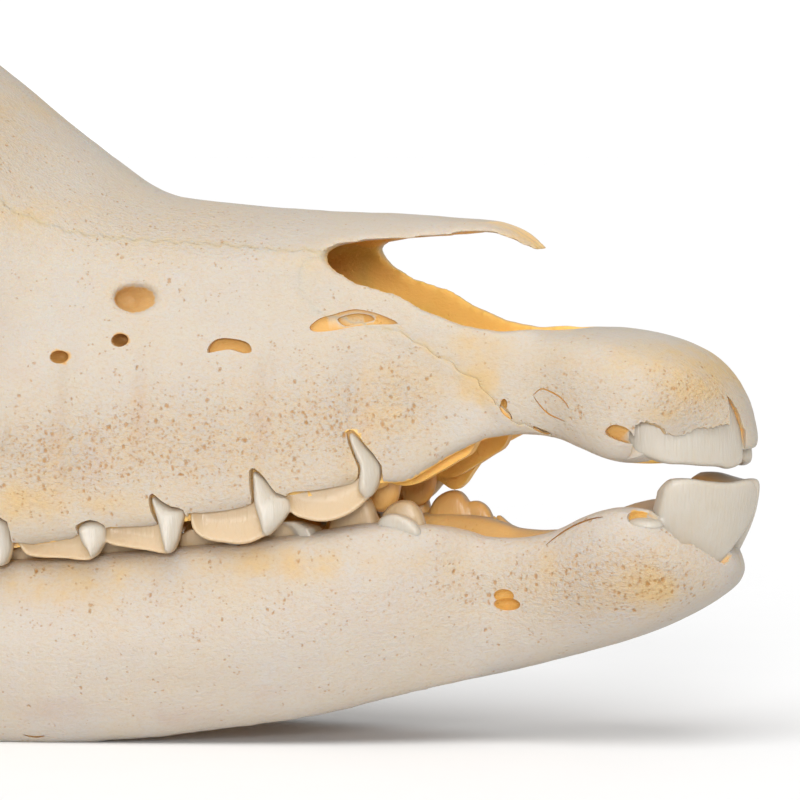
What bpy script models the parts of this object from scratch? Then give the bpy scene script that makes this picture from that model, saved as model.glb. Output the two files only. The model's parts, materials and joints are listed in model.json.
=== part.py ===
"""The skull of a newborn foal, standing on its lower jaw with the mouth almost shut.

All sizes are in millimetres and become metres where a mesh is made. A place on the skull is
given as u, the distance behind the front of the incisors, y, the distance from the midline
(left is positive), and z, the height above the surface that the jaw stands on. The skull
faces +X, and the origin lies on that surface under the middle of the skull's length.
"""

import math

import bmesh
import bpy
import numpy as np
from mathutils import Matrix, Vector

MM = 0.001
MIDDLE_U = 156.1
SUTURE_GAP = 0.3
BONE_VOXEL = 1.0
CRANIUM_TRIANGLES = 5000
JAW_TRIANGLES = 2000
BONE_ROUGHNESS = 0.62
BONE_COLOURS = {"default": (0.80, 0.72, 0.60), "incisive": (0.82, 0.73, 0.58),
                "maxilla": (0.79, 0.69, 0.56), "mandible": (0.82, 0.75, 0.63),
                "nasal": (0.80, 0.71, 0.56), "vomer": (0.62, 0.42, 0.20)}
SIDES = (1, -1)
WIDE = 90.0

# Long lines of the face: each knot is u, y, z, from the tip of the nose back to the orbit.
NOSE_CROWN = [(36, 80.2), (38, 81.6), (41, 83.9), (44, 85.5), (48, 86.2), (57, 87.0), (80, 88.0),
              (94, 89.2), (102, 90.2), (106, 91.5), (114.6, 97.2), (123.3, 103.4), (132, 109.8),
              (145, 119.0), (158, 127.4), (172, 135.2)]
NOSE_EDGE = [(36, 3, 79.6), (41, 6, 83.2), (48, 9.5, 84.6), (57, 12, 83.6), (65, 14.5, 82.6),
             (72, 17, 81.6), (85, 18.5, 81.6), (100, 20.5, 82.6), (115, 24, 87), (130, 29.5, 97),
             (145, 35, 107), (160, 40, 115), (172, 42, 120)]
CHEEK = [(36, 12.5, 67), (48, 14.5, 71.5), (60, 17, 71), (72, 20, 70), (85, 23, 69.5),
         (100, 27, 68.5), (115, 32, 69), (130, 38.5, 75), (145, 44.5, 84), (160, 48, 94),
         (172, 49, 98)]
CREST = [(36, 13.5, 60), (48, 15.5, 59), (60, 19.5, 57.5), (72, 23.5, 56), (85, 27.5, 54.5),
         (100, 31.5, 53), (115, 36, 52), (130, 43, 54.5), (145, 49.5, 61), (160, 53.5, 67),
         (172, 54, 71)]
GUM = [(36, 12.5, 52.6), (40, 13.5, 51.8), (43, 14.4, 51), (47.5, 15.6, 49), (52, 17.5, 46.4),
       (56, 19.6, 43.8), (60, 22, 44), (73, 26.5, 41), (91, 31, 37.4), (105, 33.5, 35),
       (120, 35.5, 32.8), (135, 37, 31.6), (150, 37.5, 31.2), (160, 35.5, 34.5), (168, 32, 41),
       (172, 30, 46)]
GUM_INNER = [(36, 7, 55), (47, 9, 51), (57, 10, 46.5), (73, 11.5, 44.5), (91, 13.5, 41.8),
             (105, 15.5, 40), (120, 17, 38.2), (150, 19, 36.6), (160, 19, 38.5), (172, 18, 48)]
PALATE_SIDE = [(36, 4, 57), (57, 5, 53.6), (73, 6, 51), (91, 7, 48), (120, 9, 44.6),
               (150, 10, 44), (172, 10, 52)]
PALATE = [(36, 57.5), (57, 54.4), (73, 52), (91, 50), (120, 47.4), (150, 46), (172, 53)]

# Lines of the braincase, from between the orbits back to the nape.
SKULL_CROWN = [(146, 115), (158, 126.4), (172, 135.6), (190, 142.6), (210, 147.8), (230, 149.4),
               (250, 147.2), (268, 140.4), (282, 131), (293, 120.5), (299, 111)]
DOME = [(146, 20, 111), (165, 26, 126), (185, 30, 133), (205, 33, 137), (225, 35.5, 138),
        (245, 35.5, 135), (262, 33.5, 130), (278, 29.5, 123), (292, 24, 113), (299, 18, 106)]
TEMPLE = [(146, 25, 100), (165, 26, 104), (185, 29.5, 108), (205, 37, 109), (225, 42.5, 108),
          (245, 44.5, 106), (262, 43.5, 104), (278, 39.5, 101), (292, 32, 98), (299, 23, 97)]
FLANK = [(146, 22, 78), (165, 20, 82), (185, 21, 86), (205, 29, 88), (225, 37, 88.5),
         (245, 39.5, 88.5), (262, 38.5, 88.5), (278, 33, 88), (292, 26, 87.5), (299, 19, 88)]
BASE_SIDE = [(146, 13, 62), (165, 11, 67), (185, 11, 73), (205, 14, 78), (225, 17, 79.5),
             (245, 17, 80.5), (262, 15, 81.5), (278, 13, 83), (292, 12, 85), (299, 10, 86)]
BASE = [(146, 60), (165, 65.5), (185, 72), (205, 76.5), (225, 78), (245, 79), (262, 80),
        (278, 81.8), (292, 84), (299, 85.5)]

# The nasal passage inside the face.
PASSAGE_ROOF = [(30, 80.5), (38, 80.4), (44, 84.0), (48, 84.6), (57, 85.4), (80, 86.0),
                (100, 86.6), (112, 88), (130, 90), (152, 88)]
PASSAGE_ROOF_SIDE = [(30, 6, 79), (41, 6.5, 81.8), (48, 9.5, 83.0), (57, 12, 82.0),
                     (65, 13.4, 81), (72, 14.5, 79.6), (85, 15.5, 79.4), (100, 16.5, 79.8),
                     (130, 17, 82), (152, 14, 80)]
PASSAGE_SIDE = [(30, 7, 70), (48, 11.4, 69), (60, 13.6, 68), (72, 16, 67), (100, 18.5, 66),
                (130, 18, 66), (152, 14, 66)]
PASSAGE_FLOOR_SIDE = [(30, 5, 69.5), (40, 8.5, 64), (52, 10, 60), (72, 12, 57.5),
                      (100, 13, 55), (130, 12, 53), (152, 9, 52)]
PASSAGE_FLOOR = [(30, 69), (40, 63), (52, 59), (72, 57), (100, 54.5), (130, 52), (152, 51)]

# The incisive body that carries the upper incisors, and the chin that carries the lower ones.
MUZZLE_TOP = [(1.2, 50.5), (2.2, 54), (4, 58.2), (6.6, 61.8), (10, 64.8), (14, 66.6), (19, 68),
              (27, 68.8), (36, 68.6), (46, 66.5)]
MUZZLE_SHOULDER = [(1.2, 2, 50), (4, 6, 57), (10, 11.5, 62.6), (19, 14, 65.4), (27, 13.5, 67),
                   (36, 12, 67.4), (46, 13, 66)]
MUZZLE_SIDE = [(1.2, 2.6, 49.6), (4, 7.8, 54), (10, 14.2, 57.4), (19, 18.4, 58), (27, 17.4, 59.5),
               (36, 14.6, 60.5), (46, 14.6, 60)]
MUZZLE_LIP = [(1.2, 2.0, 49.4), (4, 7.2, 52.6), (10, 12.8, 53), (16, 16.2, 51.6),
              (20.6, 17.2, 48.6), (27.3, 15.4, 50.2), (33, 13.2, 51.4), (46, 13.6, 50.5)]
MUZZLE_UNDER_SIDE = [(1.2, 1.6, 48.8), (4, 4.6, 49), (10, 8, 47.4), (20, 11, 46.8),
                     (27, 9.5, 49), (36, 6.5, 53.5), (46, 6, 56)]
MUZZLE_UNDER = [(1.2, 48.8), (4, 49), (10, 47.6), (20, 47.4), (27, 50), (36, 55), (46, 57)]

CHIN_TOP = [(3.8, 30.5), (5, 32.5), (8, 36), (14, 39), (22, 38), (30, 34.5), (40, 31), (56, 28.5)]
CHIN_RIM = [(3.8, 2.5, 30.2), (5, 6, 31), (8, 10, 33.5), (14, 13.6, 37), (20, 14.6, 39.6),
            (27, 13.4, 38.2), (33, 11.8, 35.4), (40, 11.5, 34.4), (48, 12.5, 35), (56, 15, 35.8)]
CHIN_SIDE = [(3.8, 3.2, 29.4), (5, 7, 29), (8, 11.6, 29.6), (14, 15.6, 30.6), (22, 16.6, 29.6),
             (30, 15.2, 27), (40, 14, 25), (48, 15.4, 23.5), (56, 18, 22)]
CHIN_LOW = [(3.8, 2.4, 28.6), (5, 5.4, 27), (8, 8, 25.2), (14, 10.4, 22), (22, 10.6, 18.8),
            (30, 9.6, 16.4), (40, 9.6, 13.8), (48, 11.4, 11.8), (56, 14.5, 10.4)]
CHIN_UNDER = [(3.8, 28.4), (5, 26.6), (8, 24.2), (14, 20.8), (22, 17.4), (33, 14.2), (44.6, 11.4),
              (56, 9.6)]

# The body of each half of the jaw: u, y, z and half the thickness at that edge.
JAW_TOP = [(46, 10.5, 35.2, 3.4), (52, 12.8, 36.4, 4.6), (60, 15.2, 36.8, 5.4),
           (75, 18.6, 34.8, 6), (90, 21.4, 33, 6.2), (105, 23.8, 31.6, 6.4), (120, 26, 30.4, 6.4),
           (140, 29.2, 29, 6), (155, 32, 29.6, 5), (170, 35.2, 33, 3.6), (190, 39, 44, 2)]
JAW_MIDDLE = [(46, 10, 23, 5.2), (60, 14.6, 21.5, 7), (75, 18.6, 19.5, 8), (105, 24.4, 16.5, 8.4),
              (140, 30.4, 15, 7.8), (155, 33, 15, 6.6), (170, 35.8, 17, 4.8), (190, 38.6, 24, 2)]
JAW_BOTTOM = [(46, 9.5, 10.8, 3.2), (60, 13.8, 7.4, 4.2), (71, 16.8, 4.6, 4.6),
              (88, 20.4, 2, 4.8), (100, 22.8, 0.5, 4.8), (115, 25.6, -0.5, 4.6),
              (150, 32, -0.5, 4.2), (162, 34.4, 0.4, 3.8), (176, 36.4, 1.2, 3),
              (190, 37.8, 1.4, 2)]
RAMUS_OUTLINE = [(150, 2), (165, 1.2), (178, 1.4), (192, -0.6), (204, -0.6), (217, 3.5),
                 (229, 14), (235.5, 29), (235.5, 45), (233.5, 60), (234.5, 72), (231, 79),
                 (225, 78), (219, 75.5), (213, 80), (211.5, 92), (212.5, 103), (208.5, 105),
                 (203, 97), (199, 84), (193.5, 66), (186, 48), (176, 35), (162, 29), (150, 27)]
ANGLE_EDGE = [(186, 2.6), (198, 1.8), (210, 3.4), (222, 10), (231, 22), (233, 36), (232.4, 50),
              (231, 62), (231, 72)]

# The notch between the nasal bones and the incisive bones, seen from the side.
NOTCH = [(10, 82.4), (38, 81.2), (41, 82.9), (44, 84.2), (48, 84.5), (53, 83.5), (59, 83.3),
         (65, 82.8), (69, 82.2), (70.8, 81), (70.2, 79.6), (68.8, 78.2), (65, 76.2), (58, 74.2),
         (54, 71.8), (47.5, 69.2), (41.5, 68.2), (36, 68.6), (10, 68.6)]

# Outlines of the bones, seen from the side, that the thin cuts follow.
OCCIPITAL = [(291, 150), (285.5, 132), (281, 122), (277, 110), (275, 99), (270, 93), (264, 91),
             (263, 60), (275, 40), (340, 40), (340, 150)]
SPHENOID = [(151, 20), (150, 40), (147, 53), (134, 58), (134, 92), (143, 100), (158, 103),
            (176, 98), (192, 94), (212, 96), (240, 97), (268, 97), (268, 20)]
SPHENOID_WIDTH = 20.0
NASAL = [(72.6, 81.4), (77, 81.3), (86.5, 82.2), (95, 82.6), (105, 83.3), (113, 84.6), (121, 88),
         (128, 95), (133, 104), (136, 112), (138, 125), (138, 170), (10, 170), (10, 79.4),
         (45, 80.2), (66, 80.8)]
INCISIVE = [(31, 38), (32.6, 51.5), (38.9, 53.8), (44.8, 60.2), (50, 63.7), (57.8, 68.4),
            (65.2, 69.6), (71, 71.5), (74, 75.5), (73.4, 79.6), (71.6, 80.5), (66, 79.6),
            (55, 79), (45, 78.4), (10, 77), (-10, 77), (-10, 38)]
FRONTAL = [(128, 95.4), (137, 103), (147, 110), (158, 117), (168, 108), (180, 98), (192, 93),
           (196, 88), (207, 88), (211, 100), (214, 116), (216, 132), (214, 170), (120, 170)]
PARIETAL = [(205, 119), (216, 120.6), (232, 121), (250, 118), (264, 112), (276, 104), (290, 112),
            (300, 170), (205, 170)]
TEMPORAL = [(205.5, 40), (205.5, 130), (300, 130), (300, 40)]
LACRIMAL = [(124, 91), (126.5, 85.5), (136, 79.5), (147, 77), (158, 80), (171, 84), (171, 112),
            (150, 130), (120, 130)]
ZYGOMATIC = [(138, 46), (136.5, 60), (141, 70), (148, 78), (158, 82), (171, 90), (215, 100),
             (215, 40), (171, 40), (160, 50)]
ZYGOMATIC_INNER = 37.0
TEMPORAL_INNER = 0.0
LACRIMAL_INNER = 16.0
VOMER = [(64, 55), (68, 62), (76, 67), (130, 66), (134, 50), (64, 50)]
VOMER_ABOVE = [(62, 59.5), (131, 59.5), (131, 72), (62, 72)]

# Cheek teeth, each lobe as u of its front and back and z of its tip.
UPPER_LOBES = [(58.6, 73.6, 36.5), (73.8, 90.0, 32.9), (90.9, 103.2, 31.0), (103.4, 118.8, 29.9),
               (119.5, 133.0, 29.2), (133.2, 148.0, 28.8)]
LOWER_LOBES = [(50.0, 57.4, 39.6), (57.6, 69.6, 38.2), (69.8, 80.5, 37.0), (81.3, 94.0, 35.6),
               (94.2, 108.0, 34.2), (108.8, 122.5, 32.4), (122.7, 138.0, 30.9)]
LOWER_TOPS = [((front + back) / 2, tip) for front, back, tip in LOWER_LOBES]
TOOTH_CLEARANCE = 1.0
INCISOR_SWING = 49.0
INCISOR_BOW = 0.028
INCISOR_THICKNESS = (3.6, 0.9)
UPPER_INCISOR_HALF_WIDTH = 10.4
LOWER_INCISOR_HALF_WIDTH = 9.0

# The eye socket's rim: its middle, and half its length and its height.
ORBIT_CENTRE = (178.5, 50.5, 101.0)
ORBIT_HALF_LENGTH = 27.0
ORBIT_HALF_HEIGHT = 25.0
ORBIT_RIM_HALF_THICKNESS = 3.4

WING_HALF_THICKNESS = 1.5
NAPE_PROCESS_HALF_THICKNESS = 1.9
VOMER_HALF_THICKNESS = 0.9
VOMER_CUT_HALF_WIDTH = 1.4
RAMUS_HALF_THICKNESS = 2.3
MELT_PASSES = 4
SOFTEN_PASSES = 3


def line(knots):
    """A smooth line through knots (u, value, ...) that doesn't overshoot between them."""
    table = np.array(knots, float)
    where, values = table[:, 0], table[:, 1:]
    step = np.diff(where)[:, None]
    slope = np.diff(values, axis=0) / step
    tangent = np.zeros_like(values)
    tangent[0], tangent[-1] = slope[0], slope[-1]
    before, after = slope[:-1], slope[1:]
    agree = before * after > 0
    total = np.where(agree, before + after, 1.0)
    tangent[1:-1] = np.where(agree, 2 * before * after / total, 0.0)

    def at(u):
        u = min(max(u, where[0]), where[-1])
        i = min(int(np.searchsorted(where, u, side="right")) - 1, len(where) - 2)
        h = where[i + 1] - where[i]
        t = (u - where[i]) / h
        return ((1 + 2 * t) * (1 - t) ** 2 * values[i] + t * (1 - t) ** 2 * h * tangent[i]
                + t * t * (3 - 2 * t) * values[i + 1] + t * t * (t - 1) * h * tangent[i + 1])

    return at


def rounded(points, per_span=4, closed=True):
    """A smooth curve through points, which may be of any dimension."""
    points = np.array(points, float)
    count = len(points)
    gaps = np.linalg.norm(np.roll(points, -1, axis=0) - points, axis=1) ** 0.5
    curve = []
    for i in range(count if closed else count - 1):
        a, b = points[i], points[(i + 1) % count]
        h = gaps[i]
        before = points[i - 1] if closed or i else a
        after = points[(i + 2) % count] if closed or i + 2 < count else b
        gap_before = gaps[i - 1] if closed or i else h
        gap_after = gaps[(i + 1) % count] if closed or i + 2 < count else h
        start = (b - before) / (h + gap_before) * h
        end = (after - a) / (h + gap_after) * h
        for t in np.arange(per_span) / per_span:
            curve.append((1 + 2 * t) * (1 - t) ** 2 * a + t * (1 - t) ** 2 * start
                         + t * t * (3 - 2 * t) * b + t * t * (t - 1) * end)
    if not closed:
        curve.append(points[-1])
    return np.array(curve)


def place(points):
    """Skull places (u, y, z) in millimetres as world places in metres."""
    points = np.array(points, float).reshape(-1, 3)
    return np.column_stack([MIDDLE_U - points[:, 0], points[:, 1], points[:, 2]]) * MM


def shell(rings):
    """A closed body through rings of the same number of points, as (vertices, faces)."""
    rings = np.array(rings, float)
    count, around = rings.shape[:2]
    faces = []
    for i in range(count - 1):
        for j in range(around):
            k = (j + 1) % around
            faces.append((i * around + j, i * around + k, (i + 1) * around + k,
                          (i + 1) * around + j))
    faces.append(tuple(reversed(range(around))))
    faces.append(tuple((count - 1) * around + j for j in range(around)))
    return rings.reshape(-1, 3), faces


def lofted(half_lines, stations, per_span=4):
    """A body across the midline: half_lines run from its top to its bottom, at these u."""
    curves = [line(knots) for knots in half_lines]
    rings = []
    for u in stations:
        half = [curve(u) for curve in curves]
        half = [(0.0, p[0]) if len(p) == 1 else (p[0], p[1]) for p in half]
        mirrored = [(-y, z) for y, z in reversed(half[1:-1])]
        outline = rounded(half + mirrored, per_span)
        rings.append([(u, y, z) for y, z in outline])
    return shell(rings)


def tube(stations, sides=12, per_span=4, side=1):
    """A rounded limb through stations (u, y, z, half its thickness, half its height)."""
    path = rounded(stations, per_span, closed=False)
    centres, sizes = path[:, :3] * (1, side, 1), path[:, 3:]
    along = np.gradient(centres, axis=0)
    along /= np.linalg.norm(along, axis=1)[:, None]
    rings = []
    for i, (centre, (across, tall)) in enumerate(zip(centres, sizes)):
        forward = along[i]
        up = np.array((0.0, 0.0, 1.0)) if abs(forward[2]) < 0.8 else np.array((1.0, 0.0, 0.0))
        up = up - forward * (up @ forward)
        up /= np.linalg.norm(up)
        out = np.cross(forward, up)
        ring = [(math.cos(a) * out * across, math.sin(a) * up * tall)
                for a in np.arange(sides) * 2 * math.pi / sides]
        if i in (0, len(centres) - 1):
            push = forward * min(across, tall) * (-1 if i == 0 else 1)
            end = [[centre + push * rise + (a + b) * math.sqrt(1 - rise * rise)
                    for a, b in ring] for rise in (0.0, 0.5, 0.85)]
            rings += end[::-1] if i == 0 else end
        else:
            rings.append([centre + a + b for a, b in ring])
    return shell(rings)


def ball(centre, radii, side=1, turn=0.0, detail=3):
    """An ellipsoid at (u, y, z) with radii along u, y and z, turned about z by turn degrees."""
    work = bmesh.new()
    bmesh.ops.create_icosphere(work, subdivisions=detail, radius=1.0)
    points = np.array([v.co for v in work.verts]) * radii
    faces = [tuple(v.index for v in f.verts) for f in work.faces]
    work.free()
    c, s = math.cos(math.radians(turn)), math.sin(math.radians(turn))
    points = points @ np.array([[c, s, 0], [-s, c, 0], [0, 0, 1]]) + centre
    return points * (1, side, 1), faces


def plate(outline, middle, half, side=1, per_span=3):
    """A plate with this outline of (u, z), lying at y = middle(u, z), twice half thick."""
    outline = rounded(outline, per_span) if per_span > 1 else np.array(outline, float)
    near = [(u, (middle(u, z) - half) * side, z) for u, z in outline]
    far = [(u, (middle(u, z) + half) * side, z) for u, z in outline]
    return shell([near, far])


def prism(outline, low, high):
    """A block with this outline of (u, z), from y = low to y = high."""
    return shell([[(u, low, z) for u, z in outline], [(u, high, z) for u, z in outline]])


def grown(outline, by):
    """The outline moved outwards by that much all round."""
    points = np.array(outline, float)
    to_next = np.roll(points, -1, axis=0) - points
    to_next /= np.linalg.norm(to_next, axis=1)[:, None]
    area = np.sum(points[:, 0] * np.roll(points[:, 1], -1) - np.roll(points[:, 0], -1) * points[:, 1])
    normal = np.column_stack([to_next[:, 1], -to_next[:, 0]]) * np.sign(area)
    before = np.roll(normal, 1, axis=0)
    share = 1 + np.sum(normal * before, axis=1)
    return points + (normal + before) / np.maximum(share, 0.3)[:, None] * by


def body(name, shells):
    """One object that holds these shells, each closed and facing outwards."""
    mesh = bpy.data.meshes.new(name)
    points, faces, start = [], [], 0
    for shell_points, shell_faces in shells:
        points.append(place(shell_points))
        faces += [tuple(i + start for i in face) for face in shell_faces]
        start += len(shell_points)
    mesh.from_pydata([Vector(p) for p in np.concatenate(points)], [], faces)
    work = bmesh.new()
    work.from_mesh(mesh)
    bmesh.ops.triangulate(work, faces=[f for f in work.faces if len(f.verts) > 4])
    bmesh.ops.recalc_face_normals(work, faces=work.faces)
    work.to_mesh(mesh)
    work.free()
    made = bpy.data.objects.new(name, mesh)
    bpy.context.scene.collection.objects.link(made)
    return made


def settle(made):
    """Applies every modifier of the object."""
    graph = bpy.context.evaluated_depsgraph_get()
    mesh = bpy.data.meshes.new_from_object(made.evaluated_get(graph))
    made.modifiers.clear()
    old, made.data = made.data, mesh
    mesh.name = made.name
    bpy.data.meshes.remove(old)
    return made


def combine(made, tools, operation):
    """One Boolean of the object with these closed shells, which are then removed.

    The solver is MANIFOLD, because EXACT gives an open mesh on bones melted like these.
    """
    collection = bpy.data.collections.new(made.name + "_tools")
    bpy.context.scene.collection.children.link(collection)
    for i, tool in enumerate(tools):
        helper = body(f"{made.name}_tool_{i}", [tool])
        bpy.context.scene.collection.objects.unlink(helper)
        collection.objects.link(helper)
    boolean = made.modifiers.new("join", "BOOLEAN")
    boolean.operation, boolean.solver = operation, "MANIFOLD"
    boolean.operand_type, boolean.collection = "COLLECTION", collection
    settle(made)
    for helper in list(collection.objects):
        bpy.data.objects.remove(helper)
    bpy.data.collections.remove(collection)
    return made


def fuse(made, passes):
    """Melts the object's shells into one bone and rounds it."""
    remesh = made.modifiers.new("melt", "REMESH")
    remesh.mode, remesh.voxel_size, remesh.adaptivity = "VOXEL", BONE_VOXEL * MM, 0.0
    smooth = made.modifiers.new("round", "SMOOTH")
    smooth.factor, smooth.iterations = 0.5, passes
    return settle(made)


def thin(made, triangles):
    """Thins the object to about that many triangles and keeps its largest closed surface."""
    made.data.calc_loop_triangles()
    decimate = made.modifiers.new("thin", "DECIMATE")
    decimate.ratio = triangles / len(made.data.loop_triangles)
    return largest_part(settle(made))


def largest_part(made):
    """Keeps only the object's largest closed surface."""
    work = bmesh.new()
    work.from_mesh(made.data)
    work.verts.ensure_lookup_table()
    label, sizes = {}, []
    for first in work.verts:
        if first.index in label:
            continue
        stack, members = [first], 0
        label[first.index] = len(sizes)
        while stack:
            vertex = stack.pop()
            members += 1
            for edge in vertex.link_edges:
                other = edge.other_vert(vertex)
                if other.index not in label:
                    label[other.index] = len(sizes)
                    stack.append(other)
        sizes.append(members)
    keep = int(np.argmax(sizes))
    bmesh.ops.delete(work, geom=[v for v in work.verts if label[v.index] != keep], context="VERTS")
    work.to_mesh(made.data)
    work.free()
    return made


def face_bones():
    """The solid of the face, muzzle and palate, before its passages are cut."""
    face = lofted([NOSE_CROWN, NOSE_EDGE, CHEEK, CREST, GUM, GUM_INNER, PALATE_SIDE, PALATE],
                  [36, 38, 41, 44, 48, 52, 57, 62, 67, 72, 78, 85, 92, 98, 103, 107, 112, 118,
                   124, 131, 138, 145, 152, 159, 165, 169])
    muzzle = lofted([MUZZLE_TOP, MUZZLE_SHOULDER, MUZZLE_SIDE, MUZZLE_LIP, MUZZLE_UNDER_SIDE,
                     MUZZLE_UNDER],
                    [1.2, 2.2, 4, 6.6, 10, 14, 19, 24, 29, 34, 40, 46])
    return face, muzzle


def braincase():
    """The solid of the braincase, from between the orbits to the nape."""
    return lofted([SKULL_CROWN, DOME, TEMPLE, FLANK, BASE_SIDE, BASE],
                  [146, 154, 162, 170, 178, 186, 195, 204, 214, 224, 234, 244, 254, 263, 271,
                   278, 285, 291, 296, 299])


def orbit_ring(side):
    """The rim of the eye socket, closed behind by the bar down to the cheek arch."""
    forward, up = np.array((-0.95, -0.31, 0.0)), np.array((0.05, -0.16, 0.98))
    centre = np.array(ORBIT_CENTRE)
    rings = []
    for a in np.arange(28) * 2 * math.pi / 28:
        out = (ORBIT_HALF_LENGTH * math.cos(a) * forward
               + ORBIT_HALF_HEIGHT * math.sin(a) * up)
        radial = out / np.linalg.norm(out)
        normal = np.cross(forward, up)
        wide = 4.2 + 1.6 * max(0.0, math.sin(a)) + 1.2 * max(0.0, -math.cos(a))
        rings.append([(centre + out + radial * math.cos(b) * wide
                       + normal * math.sin(b) * ORBIT_RIM_HALF_THICKNESS) * (1, side, 1)
                      for b in np.arange(10) * 2 * math.pi / 10])
    rings = np.array(rings)
    around, across = rings.shape[:2]
    faces = [(i * across + j, i * across + (j + 1) % across,
              (i + 1) % around * across + (j + 1) % across, (i + 1) % around * across + j)
             for i in range(around) for j in range(across)]
    return rings.reshape(-1, 3), faces


def brow(side):
    """The shelf of the frontal bone over the eye socket, and the slope that leads up to it."""
    rim = tube([(149, 37, 101, 5, 5), (156, 38, 111, 6.5, 5), (164, 39.5, 119, 8, 4.8),
                (174, 41, 123.8, 9, 4.4), (184, 41.5, 125.6, 9, 4.2), (193, 40.5, 125.6, 8.5, 4.2),
                (201, 37, 125, 7, 4)], side=side)
    slope = tube([(148, 24, 107, 8, 6), (158, 26, 117, 9, 6.5), (170, 28, 125, 10, 6.5),
                  (183, 30, 129, 10, 6.5), (197, 32, 131, 9, 6), (206, 32, 131, 8, 5)], side=side)
    return [rim, slope]


def cheek_arch(side):
    """The facial crest, running back into the zygomatic arch and its root on the temple."""
    return tube([(120, 36.5, 50.5, 2.6, 3.4), (132, 43, 54, 4, 5), (145, 50, 61.5, 5, 7.5),
                 (158, 55.5, 68.5, 5, 8.6), (172, 59, 73, 4, 7.6), (188, 61.3, 77, 3.6, 7),
                 (203, 61.8, 81.5, 3.3, 6), (217, 60.2, 86, 3.2, 5.4), (229, 56, 89.5, 4, 5),
                 (239, 49, 92, 6, 5.4), (247, 40, 94, 8, 6)], side=side)


def jaw_socket(side):
    """The block behind the arch that the jaw's condyle turns in."""
    return [ball((231, 46, 89), (10, 13, 5), side),
            ball((241.5, 45, 84.5), (3.2, 5, 6.5), side)]


def pterygoid_wall(side):
    """The thin wall beside the rear nostril, ending in its hook."""
    wall = plate([(141, 38), (152, 36.5), (165, 39), (178, 45), (190, 52.5), (198, 57),
                  (197, 61), (203, 68), (213, 79), (190, 80), (165, 72), (141, 60)],
                 lambda u, z: 13.6 + 0.02 * (u - 150), WING_HALF_THICKNESS, side)
    hook = tube([(184, 14, 56, 1.8, 4), (192, 14.6, 55.4, 1.6, 3), (199, 16.4, 54.6, 1.4, 2)],
                side=side)
    return [wall, hook]


def ear_region(side):
    """The petrous bone, the bony ear passage and the styloid beside it."""
    return [ball((253, 28, 83), (12, 9, 8), side),
            tube([(253, 34, 89, 6.5, 6.5), (255, 42, 93, 6, 6), (257, 48, 97, 5.4, 5.4)],
                 side=side),
            ball((265, 37, 92), (8, 7, 12), side)]


def nape(side):
    """Half of the crest across the nape, and the process and the condyle below it."""
    crest = tube([(290.5, -2, 122, 3, 3.4), (290, 10, 120.5, 3, 3.4), (286.5, 22, 114, 2.8, 3.2),
                  (281, 32, 104.5, 2.6, 3), (275, 38, 95, 2.6, 3)], side=side)
    process = plate([(272, 92), (277, 84), (282, 75), (285.5, 70), (289, 69.5), (291, 73),
                     (291.5, 82), (293, 92), (284, 100)],
                    lambda u, z: 31 - 0.10 * (92 - z), NAPE_PROCESS_HALF_THICKNESS, side)
    condyle = tube([(297, 8, 83, 6, 4), (301, 13, 86.5, 7.5, 7.5), (302, 16.5, 93, 8, 9),
                    (299, 17, 101, 6.5, 8), (295, 15, 107, 4, 5)], side=side)
    return [crest, process, condyle]


def tuber(side):
    """The swelling behind the last cheek tooth that holds the molar still to come."""
    return ball((158, 29, 48), (13, 11, 14), side)


def socket_cut(side):
    """The hollow of the eye socket."""
    return ball((178.5, 50, 101), (22.8, 27, 21), side, turn=-17)


def passage_cuts():
    """The nasal passages, the rear nostrils and the slots in the roof of the mouth."""
    passage = lofted([PASSAGE_ROOF, PASSAGE_ROOF_SIDE, PASSAGE_SIDE, PASSAGE_FLOOR_SIDE,
                      PASSAGE_FLOOR],
                     [30, 35, 38, 41, 44, 48, 52, 57, 62, 68, 75, 83, 92, 101, 110, 120, 130,
                      141, 152])
    rear = tube([(136, 0, 60, 10.5, 8.5), (150, 0, 55.5, 10.8, 9.5), (164, 0, 53.5, 11, 11),
                 (182, 0, 57, 11, 12), (198, 0, 60, 11, 13), (214, 0, 62, 11, 12)])
    slots = [tube([(27, 4.6, 56, 2, 12), (40, 5, 55, 2.6, 14), (55, 4.6, 54, 2, 12)], side=side)
             for side in SIDES]
    notch = prism(NOTCH, -40, 40)
    return [passage, rear, notch, *slots]


def brain_cuts():
    """The great hole of the occiput and the hollow of the braincase that shows through it."""
    hollow = ball((262, 0, 107), (26, 25, 20))
    hole = tube([(276, 0, 103, 13.5, 11), (290, 0, 101, 13.5, 11.5), (320, 0, 99, 14, 12)])
    return [hollow, hole]


def nerve_holes(side):
    """The infraorbital hole and the hole of the ear."""
    infraorbital = tube([(92.0, 37, 75.2, 4.6, 3.1), (98, 27, 73.6, 4.0, 3.0),
                         (110, 20, 70, 2.8, 2.4)], side=side)
    ear = tube([(250, 31, 89, 2.6, 2.6), (255, 41, 92.5, 3.1, 3.1), (260, 56, 101, 3.6, 3.6)],
               side=side)
    return [infraorbital, ear]


def bud_slots(side):
    """The slots and small holes in the thin bone over the tooth buds."""
    fissure = tube([(57.4, 16.4, 70.4, 2.6, 0.7), (61.6, 17.6, 71.4, 2.6, 1.4),
                    (66.4, 18.8, 71.2, 2.6, 1.2), (71, 20, 70.2, 2.6, 0.6)], 8, 2, side)
    slot = tube([(80.4, 23, 67.2, 2.4, 0.9), (83.5, 24, 67.6, 2.4, 1.2),
                 (86.6, 25, 67, 2.4, 0.9)], 8, 2, side)
    holes = [ball((99.6, 28.6, 68.2), (1.6, 4, 1.3), side, detail=1),
             ball((109.4, 32.4, 65.4), (1.8, 4, 1.3), side, detail=1)]
    return [fissure, slot, *holes]


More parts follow.
